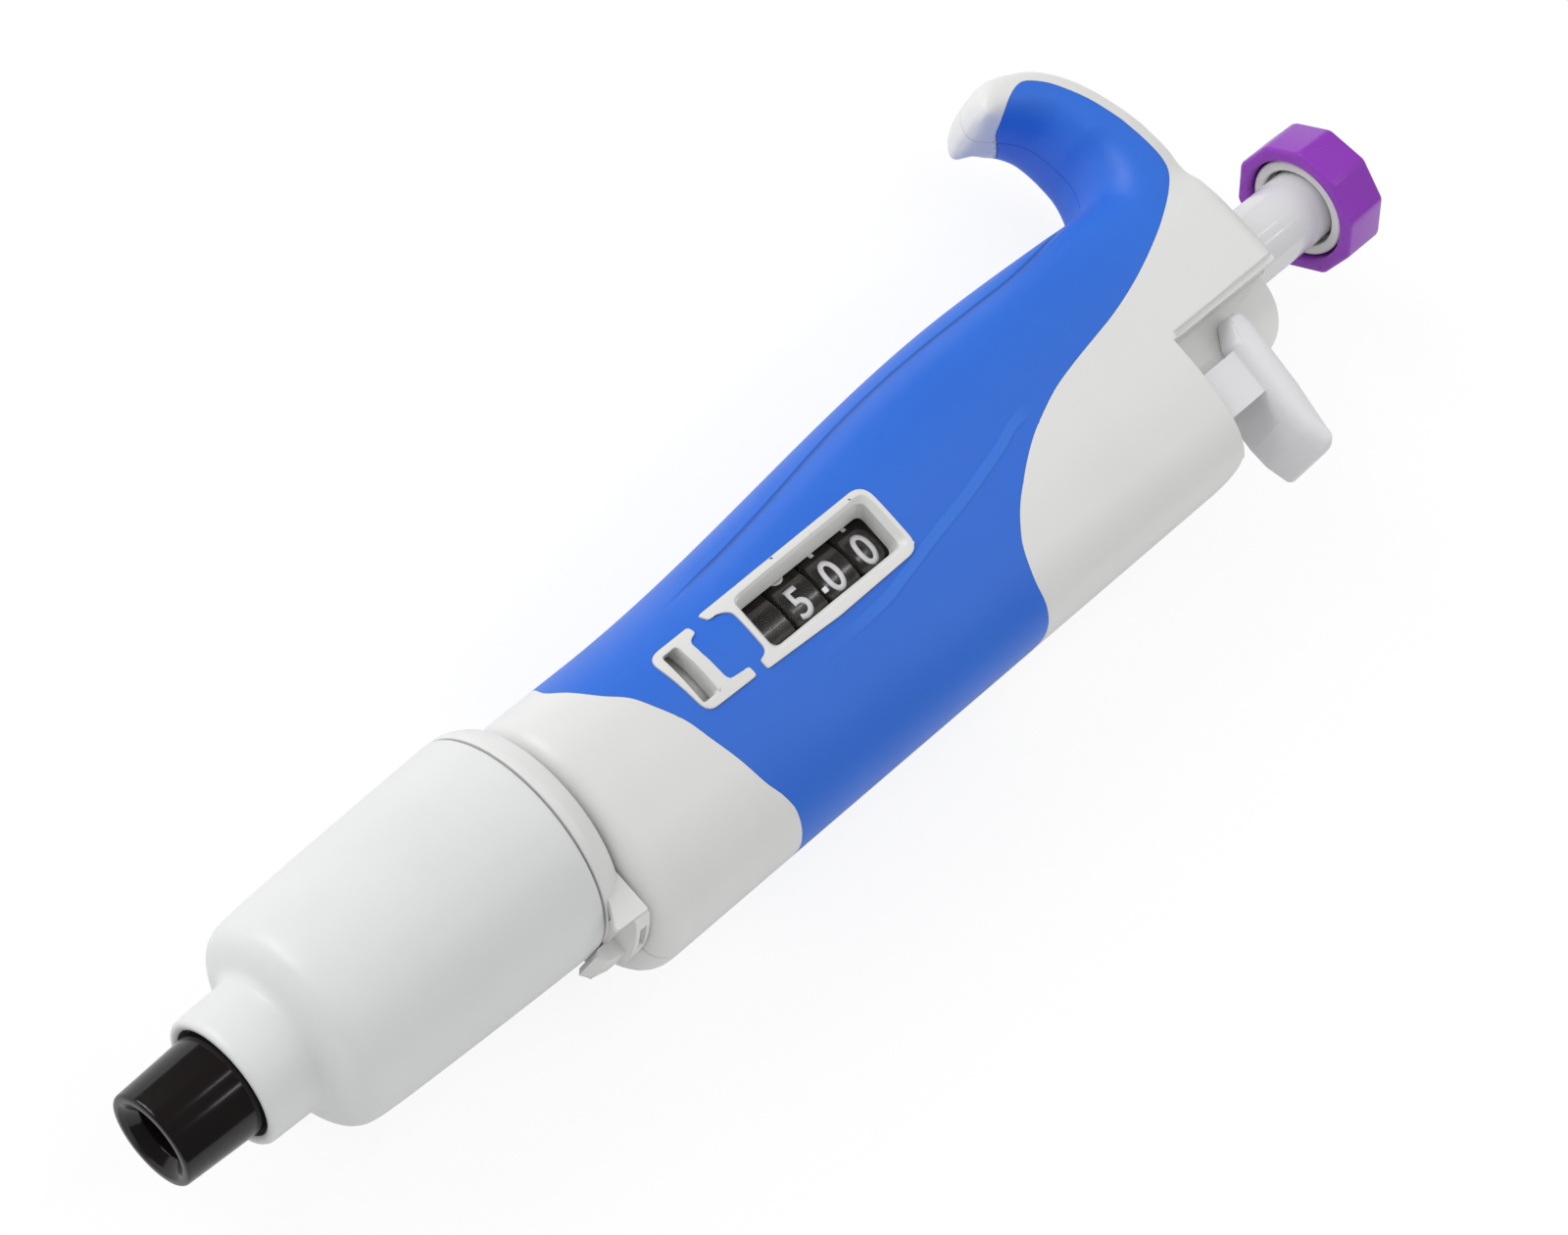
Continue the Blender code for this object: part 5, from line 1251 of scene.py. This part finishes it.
    def screws(self) -> None:
        """Makes the case screws, whose heads repeat by a graph."""
        graph = Graph("case_screws", {
            "Head Radius": 2.3, "Head Length": 1.8, "Socket Radius": 1.1, "Shank Radius": 1.3,
            "Shank Length": 17.5,
        })
        socket_depth, socket_place, seat, height = 1.6, -0.9, 0.85, -12.4

        def bar(sides: int, radius: str, depth: Operand) -> Signal:
            """Adds a cylinder."""
            sockets = {"Vertices": sides, "Radius": graph.given(radius), "Depth": depth}
            return graph.signal("GeometryNodeMeshCylinder", {}, sockets)

        def moved(geometry: Signal, shift: object) -> Signal:
            """Moves a geometry."""
            return graph.signal("GeometryNodeTransform", {}, {"Geometry": geometry, "Translation": shift})

        head = bar(48, "Head Radius", graph.given("Head Length"))
        socket = moved(bar(6, "Socket Radius", socket_depth), (0.0, 0.0, socket_place))
        hollowed = graph.signal(
            "GeometryNodeMeshBoolean", {"operation": "DIFFERENCE"}, {"Mesh 1": head, "Mesh 2": socket},
        )
        lift = graph.signal("ShaderNodeCombineXYZ", {}, {"Z": graph.given("Shank Length") * 0.5 + seat})
        shank = moved(bar(32, "Shank Radius", graph.given("Shank Length")), lift)
        screw = graph.node("GeometryNodeJoinGeometry", {}, {})
        for part in (hollowed, shank):
            graph.tree.links.new(part.socket, screw.inputs[0])
        placed = graph.node("GeometryNodeJoinGeometry", {}, {})
        for x, y in self.placed(self.screw_places):
            copy = moved(Signal(graph, screw.outputs[0]), (x, y, height))
            graph.tree.links.new(copy.socket, placed.inputs[0])
        piece = graph.made("case_screw_set", Signal(graph, placed.outputs[0]), Kit.STEEL)
        settle(piece, Part.HANDLE, "steel", "case_screw_lower", "case_screw_middle", "case_screw_upper")


# Display


@dataclass
class Display:
    """The two white bezels, the lens, the calibration ring and the numbered wheels."""

    handle: Handle
    proud: float = 0.3
    edge_round: float = 0.12
    wheel_radius: float = 9.7
    wheel_width: float = 6.1
    wheel_bore: float = 4.2
    wheel_start: float = 102.1
    wheel_pitch: float = 6.4
    digit_height: float = 4.85
    digit_lift: float = 0.06
    digit_spread: float = 0.09
    reading_side: float = -1.9
    digit_shift: float = 0.3
    digit_depth: float = 0.1

    frame_corners: tuple[Place, ...] = (
        (30.6, 6.95, 0.5), (62.0, 7.1, 2.6), (62.0, -4.5, 2.4), (46.0, -4.8, 8.0), (32.7, -4.2, 0.5),
        (32.7, -2.7, 0.5), (34.3, -2.2, 1.1), (34.4, 4.5, 1.7), (33.2, 5.3, 0.6), (31.2, 5.65, 0.5),
    )
    dial_corners: tuple[Place, ...] = (
        (20.8, 6.65, 2.0), (28.4, 6.6, 0.5), (28.6, 5.4, 0.5), (26.9, 4.9, 1.1), (27.3, -2.1, 1.1),
        (30.8, -2.4, 0.5), (30.9, -3.95, 0.5), (22.0, -3.75, 2.0),
    )

    def frame_outline(self) -> Profile:
        """Gives the display frame's rounded outline."""
        return self.handle.placed(filleted(self.frame_corners, segments=7))

    def dial_outline(self) -> Profile:
        """Gives the calibration frame's rounded outline."""
        return self.handle.placed(filleted(self.dial_corners, segments=6))

    def rounded(self, low: Point, high: Point, corner: float) -> Profile:
        """Gives a rectangle with rounded corners."""
        corners = ((low[0], low[1]), (high[0], low[1]), (high[0], high[1]), (low[0], high[1]))
        return filleted([(x, y, corner) for x, y in corners])

    def rounded_well(self, low: Point, high: Point, draw: float, z: float, corner: float) -> Ring:
        """Gives a rounded rectangle at a height, drawn in by a length."""
        near, far = (low[0] + draw, low[1] + draw), (high[0] - draw, high[1] - draw)
        return [(x, y, z) for x, y in self.rounded(near, far, corner)]

    def bezel(
        self, name: str, outline: Profile, low: float, high: float, wall: Optional[Solid],
        well: Sequence[Ring],
    ) -> Solid:
        """Makes a bezel on the handle's form between two sections, with its inner wall and its well."""
        bezel = self.handle.body(name, -self.proud, *BEZEL_FINE, (low, high))
        skin = tree_of(bezel)
        combine(bezel, prism("area", outline, 0.0, FAR), Cut.WITHIN)
        longer = (low - 2.0, high + 2.0)
        combine(bezel, self.handle.body("floor", self.handle.grip_wall, *BEZEL_COARSE, longer))
        painted(bezel, Kit.WHITE)
        if wall is not None:
            combine(bezel, wall, Cut.WITH)
        combine(bezel, skinned("well", well))
        return smoothed(soften(bezel, skin, self.edge_round), even=True)

    def frames(self) -> None:
        """Makes both bezels."""
        low, high = self.handle.placed(((35.7, -2.7), (61.7, 5.8)))
        thick, foot, head, slope, steep, shallow = 0.9, 10.1, 13.4, 2.5, 0.75, 0.6
        wall = block("wall", (low[0] - thick, low[1] - thick, foot), (high[0] + thick, high[1] + thick, head))
        well = []
        for draw, z in ((0.9, 9.0), (0.9, 10.1), (0.25, 13.5), (0.0, 13.85), (-0.75, 15.0), (-0.75, 16.0)):
            share = min(1.0, max(0.0, (z - foot) / slope))
            inward = max(draw, 0.0)
            near = (low[0], low[1] - inward * steep)
            far = (high[0] - thick * share, high[1] - inward * shallow)
            well.append(self.rounded_well(near, far, draw, z, 1.25))
        piece = self.bezel("display_frame", self.frame_outline(), 92.0, 132.0, wall, well)
        settle(piece, Part.HANDLE, "white_plastic", "display_bezel")

        low, high = self.handle.placed(((22.5, -2.3), (25.1, 5.6)))
        drawn = ((0.0, 8.0), (0.0, 13.75), (-0.2, 15.0), (-0.2, 16.0))
        slot = [self.rounded_well(low, high, draw, z, 0.45) for draw, z in drawn]
        piece = self.bezel("calibration_frame", self.dial_outline(), 83.0, 99.0, None, slot)
        settle(piece, Part.HANDLE, "white_plastic", "dial_bezel")

    def lens(self) -> None:
        """Makes the clear lens under the display frame."""
        low, high = self.handle.placed(((35.7, -3.3), (61.7, 5.2)))
        rings = [self.rounded_well(low, high, 1.2, z, 1.0) for z in (10.4, 11.2)]
        piece = smoothed(skinned("display_lens", rings, Kit.LENS))
        settle(piece, Part.HANDLE, "clear_plastic", "display_window")

    def wheel(self, name: str, index: int, part: Part) -> None:
        """Makes one wheel with a rounded rim."""
        low = self.wheel_start + index * self.wheel_pitch
        high = low + self.wheel_width
        radius, hole, rim = self.wheel_radius, self.wheel_bore, 0.35
        profile = filleted((
            (low, hole, 0.1), (low, radius - 0.5, 0.2), (low + rim, radius, rim), (high - rim, radius, rim),
            (high, radius - 0.5, 0.2), (high, hole, 0.1),
        ))
        turned_piece(f"{name}_body", profile, Kit.WHEEL, part, "black_plastic", name, 120)

    def numerals(self, name: str, index: int, part: Part, shown: int) -> None:
        """Rolls the ten numerals of one wheel round its rim by a graph, with the shown one at the window."""
        middle = self.wheel_start + index * self.wheel_pitch + self.wheel_width / 2 - self.digit_shift
        graph = Graph(f"{name}_numerals", {
            "Rim Radius": self.wheel_radius, "Numeral Height": self.digit_height, "Wheel Middle": middle,
            "Reading Angle": math.asin(self.reading_side / self.wheel_radius), "Lift": self.digit_lift,
        })
        font_size, half_width, narrowing, step_angle = 1.38, 0.29, 0.90, math.radians(36.0)
        size = graph.given("Numeral Height") * font_size
        text = graph.signal(
            "GeometryNodeStringToCurves", {"align_x": "LEFT", "align_y": "MIDDLE"},
            {"String": "".join(str((shown + step) % 10) for step in range(10)), "Size": size,
             "Character Spacing": 1.0},
            "Curve Instances",
        )
        numbered, number = self.captured(graph, text, "INT", "number", "GeometryNodeInputIndex")
        located, origin = self.captured(graph, numbered, "VECTOR", "origin", "GeometryNodeInputPosition")
        filled = graph.signal("GeometryNodeFillCurve", {"mode": "NGONS"}, {"Curve": located})
        loose = graph.signal("GeometryNodeRealizeInstances", {}, {0: filled})
        cut = graph.signal("GeometryNodeTriangulate", {}, {0: loose})
        fine = graph.signal("GeometryNodeSubdivideMesh", {}, {"Mesh": cut, "Level": 1})
        here = graph.signal("GeometryNodeInputPosition", {}, {})
        local = graph.signal("ShaderNodeVectorMath", {"operation": "SUBTRACT"}, {0: here, 1: origin})
        parts = graph.node("ShaderNodeSeparateXYZ", {}, {0: local})
        across, upward = (Signal(graph, parts.outputs[side]) for side in (0, 1))
        angle = upward / graph.given("Rim Radius") + number * step_angle + graph.given("Reading Angle")
        reach = graph.given("Rim Radius") + graph.given("Lift")
        spot = graph.signal("ShaderNodeCombineXYZ", {}, {
            "X": (across - size * half_width) * narrowing + graph.given("Wheel Middle"),
            "Y": graph.maths("SINE", angle) * reach, "Z": graph.maths("COSINE", angle) * reach,
        })
        rolled = graph.signal("GeometryNodeSetPosition", {}, {"Geometry": fine, "Position": spot})
        piece = graph.made(f"{name}_numerals", rolled, Kit.INK)
        embolden(piece, self.digit_spread)
        thicken(piece, self.digit_depth)
        settle(piece, part, "white_plastic")

    def captured(
        self, graph: Graph, geometry: Signal, kind: str, name: str, source: str,
    ) -> tuple[Signal, Signal]:
        """Keeps a value on each instance of a geometry, and gives the geometry and the value."""
        kept = graph.node("GeometryNodeCaptureAttribute", {"domain": "INSTANCE"}, {"Geometry": geometry})
        kept.capture_items.new(kind, name)
        graph.tree.links.new(graph.signal(source, {}, {}).socket, kept.inputs[name])
        return Signal(graph, kept.outputs["Geometry"]), Signal(graph, kept.outputs[name])

    def dial(self) -> None:
        """Makes the calibration ring with its stepped rim."""
        profile = filleted((
            (86.7, 6.4), (86.7, 9.9, 0.2), (88.7, 9.9), (88.7, 10.5, 0.15), (92.2, 10.5, 0.2), (92.2, 6.4),
        ))
        turned_piece(
            "calibration_ring", profile, Kit.WHITE, Part.HANDLE, "white_plastic", "calibration_dial",
            120, 35.0,
        )

    def point(self) -> None:
        """Makes the white decimal point between the ones and the tenths."""
        outline = self.rounded((114.35, -1.0), (115.15, -0.2), 0.12)
        settle(smoothed(prism("decimal_point", outline, 10.22, 10.38, Kit.INK)), Part.HANDLE, "white_plastic")

    def build(self) -> None:
        """Builds the display, whose wheels show 5.00."""
        self.frames()
        self.lens()
        self.wheel("blank_wheel", 0, Part.HANDLE)
        for index, (part, shown) in enumerate(((Part.ONES, 5), (Part.TENTHS, 0), (Part.HUNDREDTHS, 0)), 1):
            name = f"{part.value}_wheel"
            self.wheel(name, index, part)
            self.numerals(name, index, part, shown)
        self.dial()
        self.point()


def embolden(piece: Solid, spread: float) -> None:
    """Moves the rims of a flat piece's strokes outwards, in millimetres."""
    least = 0.2
    with opened(piece.data) as work:
        bmesh.ops.remove_doubles(work, verts=work.verts, dist=TOUCH * MM)
        moves: dict[int, Vector] = {}
        for edge in work.edges:
            if len(edge.link_faces) != 1:
                continue
            face = edge.link_faces[0]
            outward = (edge.verts[1].co - edge.verts[0].co).normalized().cross(face.normal)
            middle = (edge.verts[0].co + edge.verts[1].co) / 2
            if outward.dot(middle - face.calc_center_median()) < 0:
                outward = -outward
            for vertex in edge.verts:
                moves[vertex.index] = moves.get(vertex.index, Vector()) + outward
        work.verts.ensure_lookup_table()
        for index, move in moves.items():
            if move.length > least:
                work.verts[index].co += move.normalized() * spread * MM


def thicken(piece: Solid, depth: float) -> None:
    """Gives a flat piece a closed thickness inwards, in millimetres."""
    with opened(piece.data) as work:
        bmesh.ops.remove_doubles(work, verts=work.verts, dist=TOUCH * MM)
        for face in work.faces:
            middle = face.calc_center_median() - AXIS_PLACE
            if face.normal.dot(Vector((0.0, middle.y, middle.z))) < 0:
                face.normal_flip()
    modifier = piece.modifiers.new("thicken", "SOLIDIFY")
    modifier.thickness = depth * MM
    modifier.offset = -1.0
    baked(piece)


# Plunger


@dataclass
class Plunger:
    """The plunger stem and the ten-sided button with its insert and cap."""

    stem_start: float = 160.7
    stem_end: float = 228.4
    stem_radius: float = 5.7
    bore: float = 2.6
    button_start: float = 223.2
    total: float = 231.2
    corner_radius: float = 10.75
    sides: int = 10
    turn: float = 0.451
    hollow_radius: float = 8.22
    hollow_end: float = 228.7
    points_per_side: int = 12

    def stem(self) -> None:
        """Makes the plunger stem."""
        start, end, radius, hole = self.stem_start, self.stem_end, self.stem_radius, self.bore
        profile = filleted(((start, hole, 0.1), (start, radius, 0.5), (end, radius, 0.3), (end, hole, 0.1)))
        turned_piece("plunger_stem_tube", profile, Kit.STEM, Part.KNOB, "white_plastic", "plunger_stem")

    def round_ring(self, x: float, radius: float) -> Ring:
        """Gives a circle with the same points as a ten-sided ring."""
        count = self.sides * self.points_per_side
        points = circle((0.0, 0.0), radius, count, math.pi / count + self.turn)
        return [(x, y, z) for y, z in points]

    def faceted(self, x: float, radius: float, softness: float) -> Ring:
        """Gives a ten-sided ring, whose corners go by the softness towards a circle."""
        half = math.pi / self.sides
        flat = radius * math.cos(half)
        limit = flat + (radius - flat) * (1.0 - softness)
        count = self.sides * self.points_per_side
        ring = []
        for step in range(count):
            angle = 2 * math.pi * (step + 0.5) / count
            within = (angle + half) % (2 * half) - half
            reach = min(flat / math.cos(half - abs(within)), limit)
            ring.append((x, reach * math.cos(angle + self.turn), reach * math.sin(angle + self.turn)))
        return ring

    def button(self) -> None:
        """Makes the ten-sided push button, from its hollow round its rim to the dish for its cap."""
        low, high, corner, hollow = self.button_start, self.total, self.corner_radius, self.hollow_radius
        centre = 0.01
        inside = (
            (self.hollow_end, centre), (self.hollow_end, hollow - 0.3), (self.stem_end, hollow),
            (low + 0.7, hollow), (low + 0.25, hollow + 0.12), (low + 0.02, hollow + 0.42),
        )
        facets = (
            (low, 1.0, 0.3), (low + 0.06, 0.45, 0.22), (low + 0.24, 0.14, 0.16), (low + 0.55, 0.0, 0.14),
            (high - 0.75, 0.0, 0.14), (high - 0.32, 0.16, 0.16), (high - 0.08, 0.5, 0.22), (high, 1.1, 0.3),
        )
        dish = ((high, 7.15), (high - 0.1, 6.85), (high - 1.5, 6.8), (high - 1.5, centre))
        rings = [self.round_ring(x, radius) for x, radius in inside]
        rings += [self.faceted(x, corner - draw, softness) for x, draw, softness in facets]
        rings += [self.round_ring(x, radius) for x, radius in dish]
        piece = smoothed(skinned("push_button_shell", rings, Kit.PURPLE), 20.0)
        settle(piece, Part.KNOB, "purple_plastic", "push_button")

    def insert(self) -> None:
        """Makes the white insert ring in the button's underside, and the cap."""
        profile = filleted((
            (224.0, 6.3, 0.35), (224.0, 7.9, 0.45), (228.4, 7.9, 0.2), (228.4, 6.0, 0.1), (226.2, 6.0, 0.1),
            (225.8, 6.3, 0.1),
        ))
        turned_piece("button_insert_ring", profile, Kit.WHITE, Part.KNOB, "white_plastic", "button_insert")
        cap = filleted(((230.0, 0.0), (230.0, 6.5, 0.1), (231.1, 6.5, 0.35), (231.1, 0.0)), closed=False)
        turned_piece("button_cap_disc", cap, Kit.PURPLE, Part.KNOB, "white_plastic", "button_cap")

    def build(self) -> None:
        """Builds the plunger."""
        self.stem()
        self.button()
        self.insert()


# Inner works


@dataclass
class Spring:
    """A steel coil wound between its two ends."""

    node: str
    part: Part
    joint: str
    travel: float
    wire: float
    turns: float
    sides: int = 8
    steps_per_turn: int = 20

    def build(self) -> None:
        """Winds the coil between its two ends."""
        low, high = (Vector(corner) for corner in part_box(self.node))
        first, last = (low.x - AXIS_PLACE.x) / MM + self.wire, (high.x - AXIS_PLACE.x) / MM - self.wire
        radius = (high.z - low.z) / 2 / MM - self.wire
        side = ((low.y + high.y) / 2 - AXIS_PLACE.y) / MM
        count = round(self.turns * self.steps_per_turn)
        rings = []
        for step in range(count + 1):
            angle = 2 * math.pi * self.turns * step / count
            x = first + (last - first) * step / count
            wire = circle((radius, x), self.wire, self.sides)
            turn = (math.cos(angle), math.sin(angle))
            rings.append([(place, side + reach * turn[0], reach * turn[1]) for reach, place in wire])
        piece = smoothed(skinned(f"{self.node}_coil", rings, Kit.STEEL), 60.0)
        settle(piece, self.part, "steel", self.node)
        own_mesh(piece)


SPRINGS = (
    Spring("blowout_spring", Part.STOP_STAGE, "blowout", 2.2, 0.8, 3.5),
    Spring("primary_spring", Part.PLUNGER, "plunger_press", 14.0, 0.55, 6.5),
    Spring("ejector_spring", Part.EJECTOR, "ejector_press", 6.0, 0.45, 10.0),
)

INNER_FINISHES = {
    Kit.FILTER: ("cone_filter",),
    Kit.NATURAL: (
        "piston_cylinder", "union_nut", "core_tube", "core_cap", "piston_head", "counter_frame",
        "counter_drive_sleeve", "ones_pinion", "tenths_pinion",
    ),
    Kit.STEEL: ("first_stop_plate", "piston_rod", "volume_spindle", "pinion_axle", "ejector_rod"),
    Kit.BRASS: ("travel_nut",),
    Kit.SEAL: ("piston_seal",),
}


def dress_inner_works() -> None:
    """Finishes the CAD's own pieces inside the case, which keep their shapes."""
    for finish, names in INNER_FINISHES.items():
        for name in names:
            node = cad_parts[name]
            if not node.data.materials:
                node.data.materials.append(finish.material())
            for place in node.material_slots:
                place.material = finish.material()
            LOG.info("%s keeps its form as %s", name, finish.name)


# Studio


@dataclass
class Studio:
    """The camera at the photograph's place, the pale floor and the soft lamps."""

    camera_place: Place = (-265.984, -44.341, 480.951)
    camera_aim: Place = (-2.438, -5.124, 17.3)
    roll: float = -0.724
    lens: float = 91.92
    floor_size: float = 6.0
    world_strength: float = 0.645
    mirror_strength: float = 0.10
    streak_reach: float = 0.80
    shadow_share: float = 0.20
    floor_glow: float = 1.05

    def axes(self) -> tuple[Vector, Vector, Vector]:
        """Gives the camera's right, up and forward directions."""
        forward = (Vector(self.camera_aim) - Vector(self.camera_place)).normalized()
        right = forward.cross(Vector((0.0, 1.0, 0.0))).normalized()
        up = right.cross(forward)
        turned_right = right * math.cos(self.roll) + up * math.sin(self.roll)
        turned_up = up * math.cos(self.roll) - right * math.sin(self.roll)
        return turned_right, turned_up, forward

    def camera(self) -> None:
        """Sets the camera."""
        right, up, forward = self.axes()
        data = bpy.data.cameras.new("camera")
        data.lens = self.lens
        data.sensor_width = 36.0
        data.clip_start = 0.01
        data.clip_end = 20.0
        camera = add_object("camera", data)
        turn = Matrix((right, up, -forward)).transposed().to_4x4()
        camera.matrix_world = Matrix.Translation(Vector(self.camera_place) * MM) @ turn
        bpy.context.scene.camera = camera

    def hang(self, name: str, spot: Vector, turn: Matrix, size: Point, power: float) -> None:
        """Hangs a rectangular lamp at a place in metres."""
        data = bpy.data.lights.new(name, "AREA")
        data.shape = "RECTANGLE"
        data.size, data.size_y = size
        data.energy = power
        add_object(name, data).matrix_world = Matrix.Translation(spot) @ turn.to_4x4()

    def lamp(self, name: str, place: Place, size: Point, power: float) -> None:
        """Hangs a soft lamp at a place along the camera's right, its up and towards it, in metres."""
        right, up, forward = self.axes()
        aim = Vector((0.0, 0.0, 0.017))
        spot = aim + right * place[0] + up * place[1] - forward * place[2]
        self.hang(name, spot, (aim - spot).to_track_quat("-Z", "Y").to_matrix(), size, power)

    def streak(self, name: str, angle: float, width: float, power: float) -> None:
        """Hangs a narrow lamp along the pipette, leaning by an angle from straight above to the hook.

        Its reflection runs down the glossy round parts.
        """
        aim = Vector((-0.060, AXIS_PLACE.y, AXIS_PLACE.z))
        lean = math.radians(angle)
        length, forward, upright = 0.60, 0.49, 0.87
        towards = Vector((forward, upright * math.sin(lean), upright * math.cos(lean)))
        spot = aim + towards * self.streak_reach
        back = (spot - aim).normalized()
        across = back.cross(Vector((1.0, 0.0, 0.0))).normalized()
        turn = Matrix((across.cross(back), across, back)).transposed()
        self.hang(name, spot, turn, (length, width), power)

    def world(self) -> None:
        """Lights the scene evenly, shows white behind it and keeps mirrored light low."""
        world = bpy.data.worlds.new("studio")
        bpy.context.scene.world = world
        wiring = Wiring(world, "ShaderNodeOutputWorld")
        path = wiring.node("ShaderNodeLightPath", {}, {})
        seen = wiring.signal("ShaderNodeMapRange", {}, {
            "Value": path.outputs["Is Camera Ray"], "To Min": self.world_strength, "To Max": 1.0,
        })
        strength = wiring.signal("ShaderNodeMapRange", {}, {
            "Value": path.outputs["Is Glossy Ray"], "To Min": seen, "To Max": self.mirror_strength,
        })
        wiring.finish(wiring.node("ShaderNodeBackground", {}, {"Color": WHITE, "Strength": strength}))

    def floor(self) -> None:
        """Lays the pale floor, which shows white and keeps a soft shadow."""
        half, depth = self.floor_size / 2, -0.0004
        corners = ((-half, -half), (half, -half), (half, half), (-half, half))
        mesh = bpy.data.meshes.new("floor")
        mesh.from_pydata([(x, y, depth) for x, y in corners], [], [(0, 1, 2, 3)])
        floor = add_object("floor", mesh)
        material = bpy.data.materials.new("floor_paper")
        wiring = Wiring(material)
        paper = wiring.blend(wiring.noise(900.0, 3.0) * 0.3, (0.93, 0.93, 0.93), (0.90, 0.90, 0.90))
        diffuse = wiring.signal("ShaderNodeBsdfDiffuse", {}, {"Color": paper})
        white = wiring.signal("ShaderNodeEmission", {}, {"Color": WHITE, "Strength": self.floor_glow})
        path = wiring.node("ShaderNodeLightPath", {}, {})
        seen, through = path.outputs["Is Camera Ray"], path.outputs["Is Transmission Ray"]
        share = wiring.maths("MAXIMUM", seen, through) * (1.0 - self.shadow_share)
        wiring.finish(wiring.node("ShaderNodeMixShader", {}, {0: share, 1: diffuse, 2: white}))
        mesh.materials.append(material)

    def build(self) -> None:
        """Builds the studio."""
        bpy.context.scene.view_settings.view_transform = "Standard"
        self.camera()
        self.world()
        self.floor()
        self.lamp("key", (-0.50, 0.60, 0.70), (0.60, 0.45), 2.6)
        self.lamp("rim", (-0.70, 0.72, 0.40), (0.50, 0.50), 2.6)
        self.streak("streak_middle", 3.0, 0.022, 0.34)
        self.streak("streak_low", -27.0, 0.036, 0.52)


def main() -> None:
    """Builds the pipette's sub-assemblies and the studio in order."""
    logging.basicConfig(level=logging.INFO, format="%(name)s %(message)s")
    Studio().build()
    LowerEnd().build()
    Carriage().build()
    Handle().build()
    Plunger().build()
    for spring in SPRINGS:
        spring.build()
    dress_inner_works()


if __name__ == "__main__":
    main()
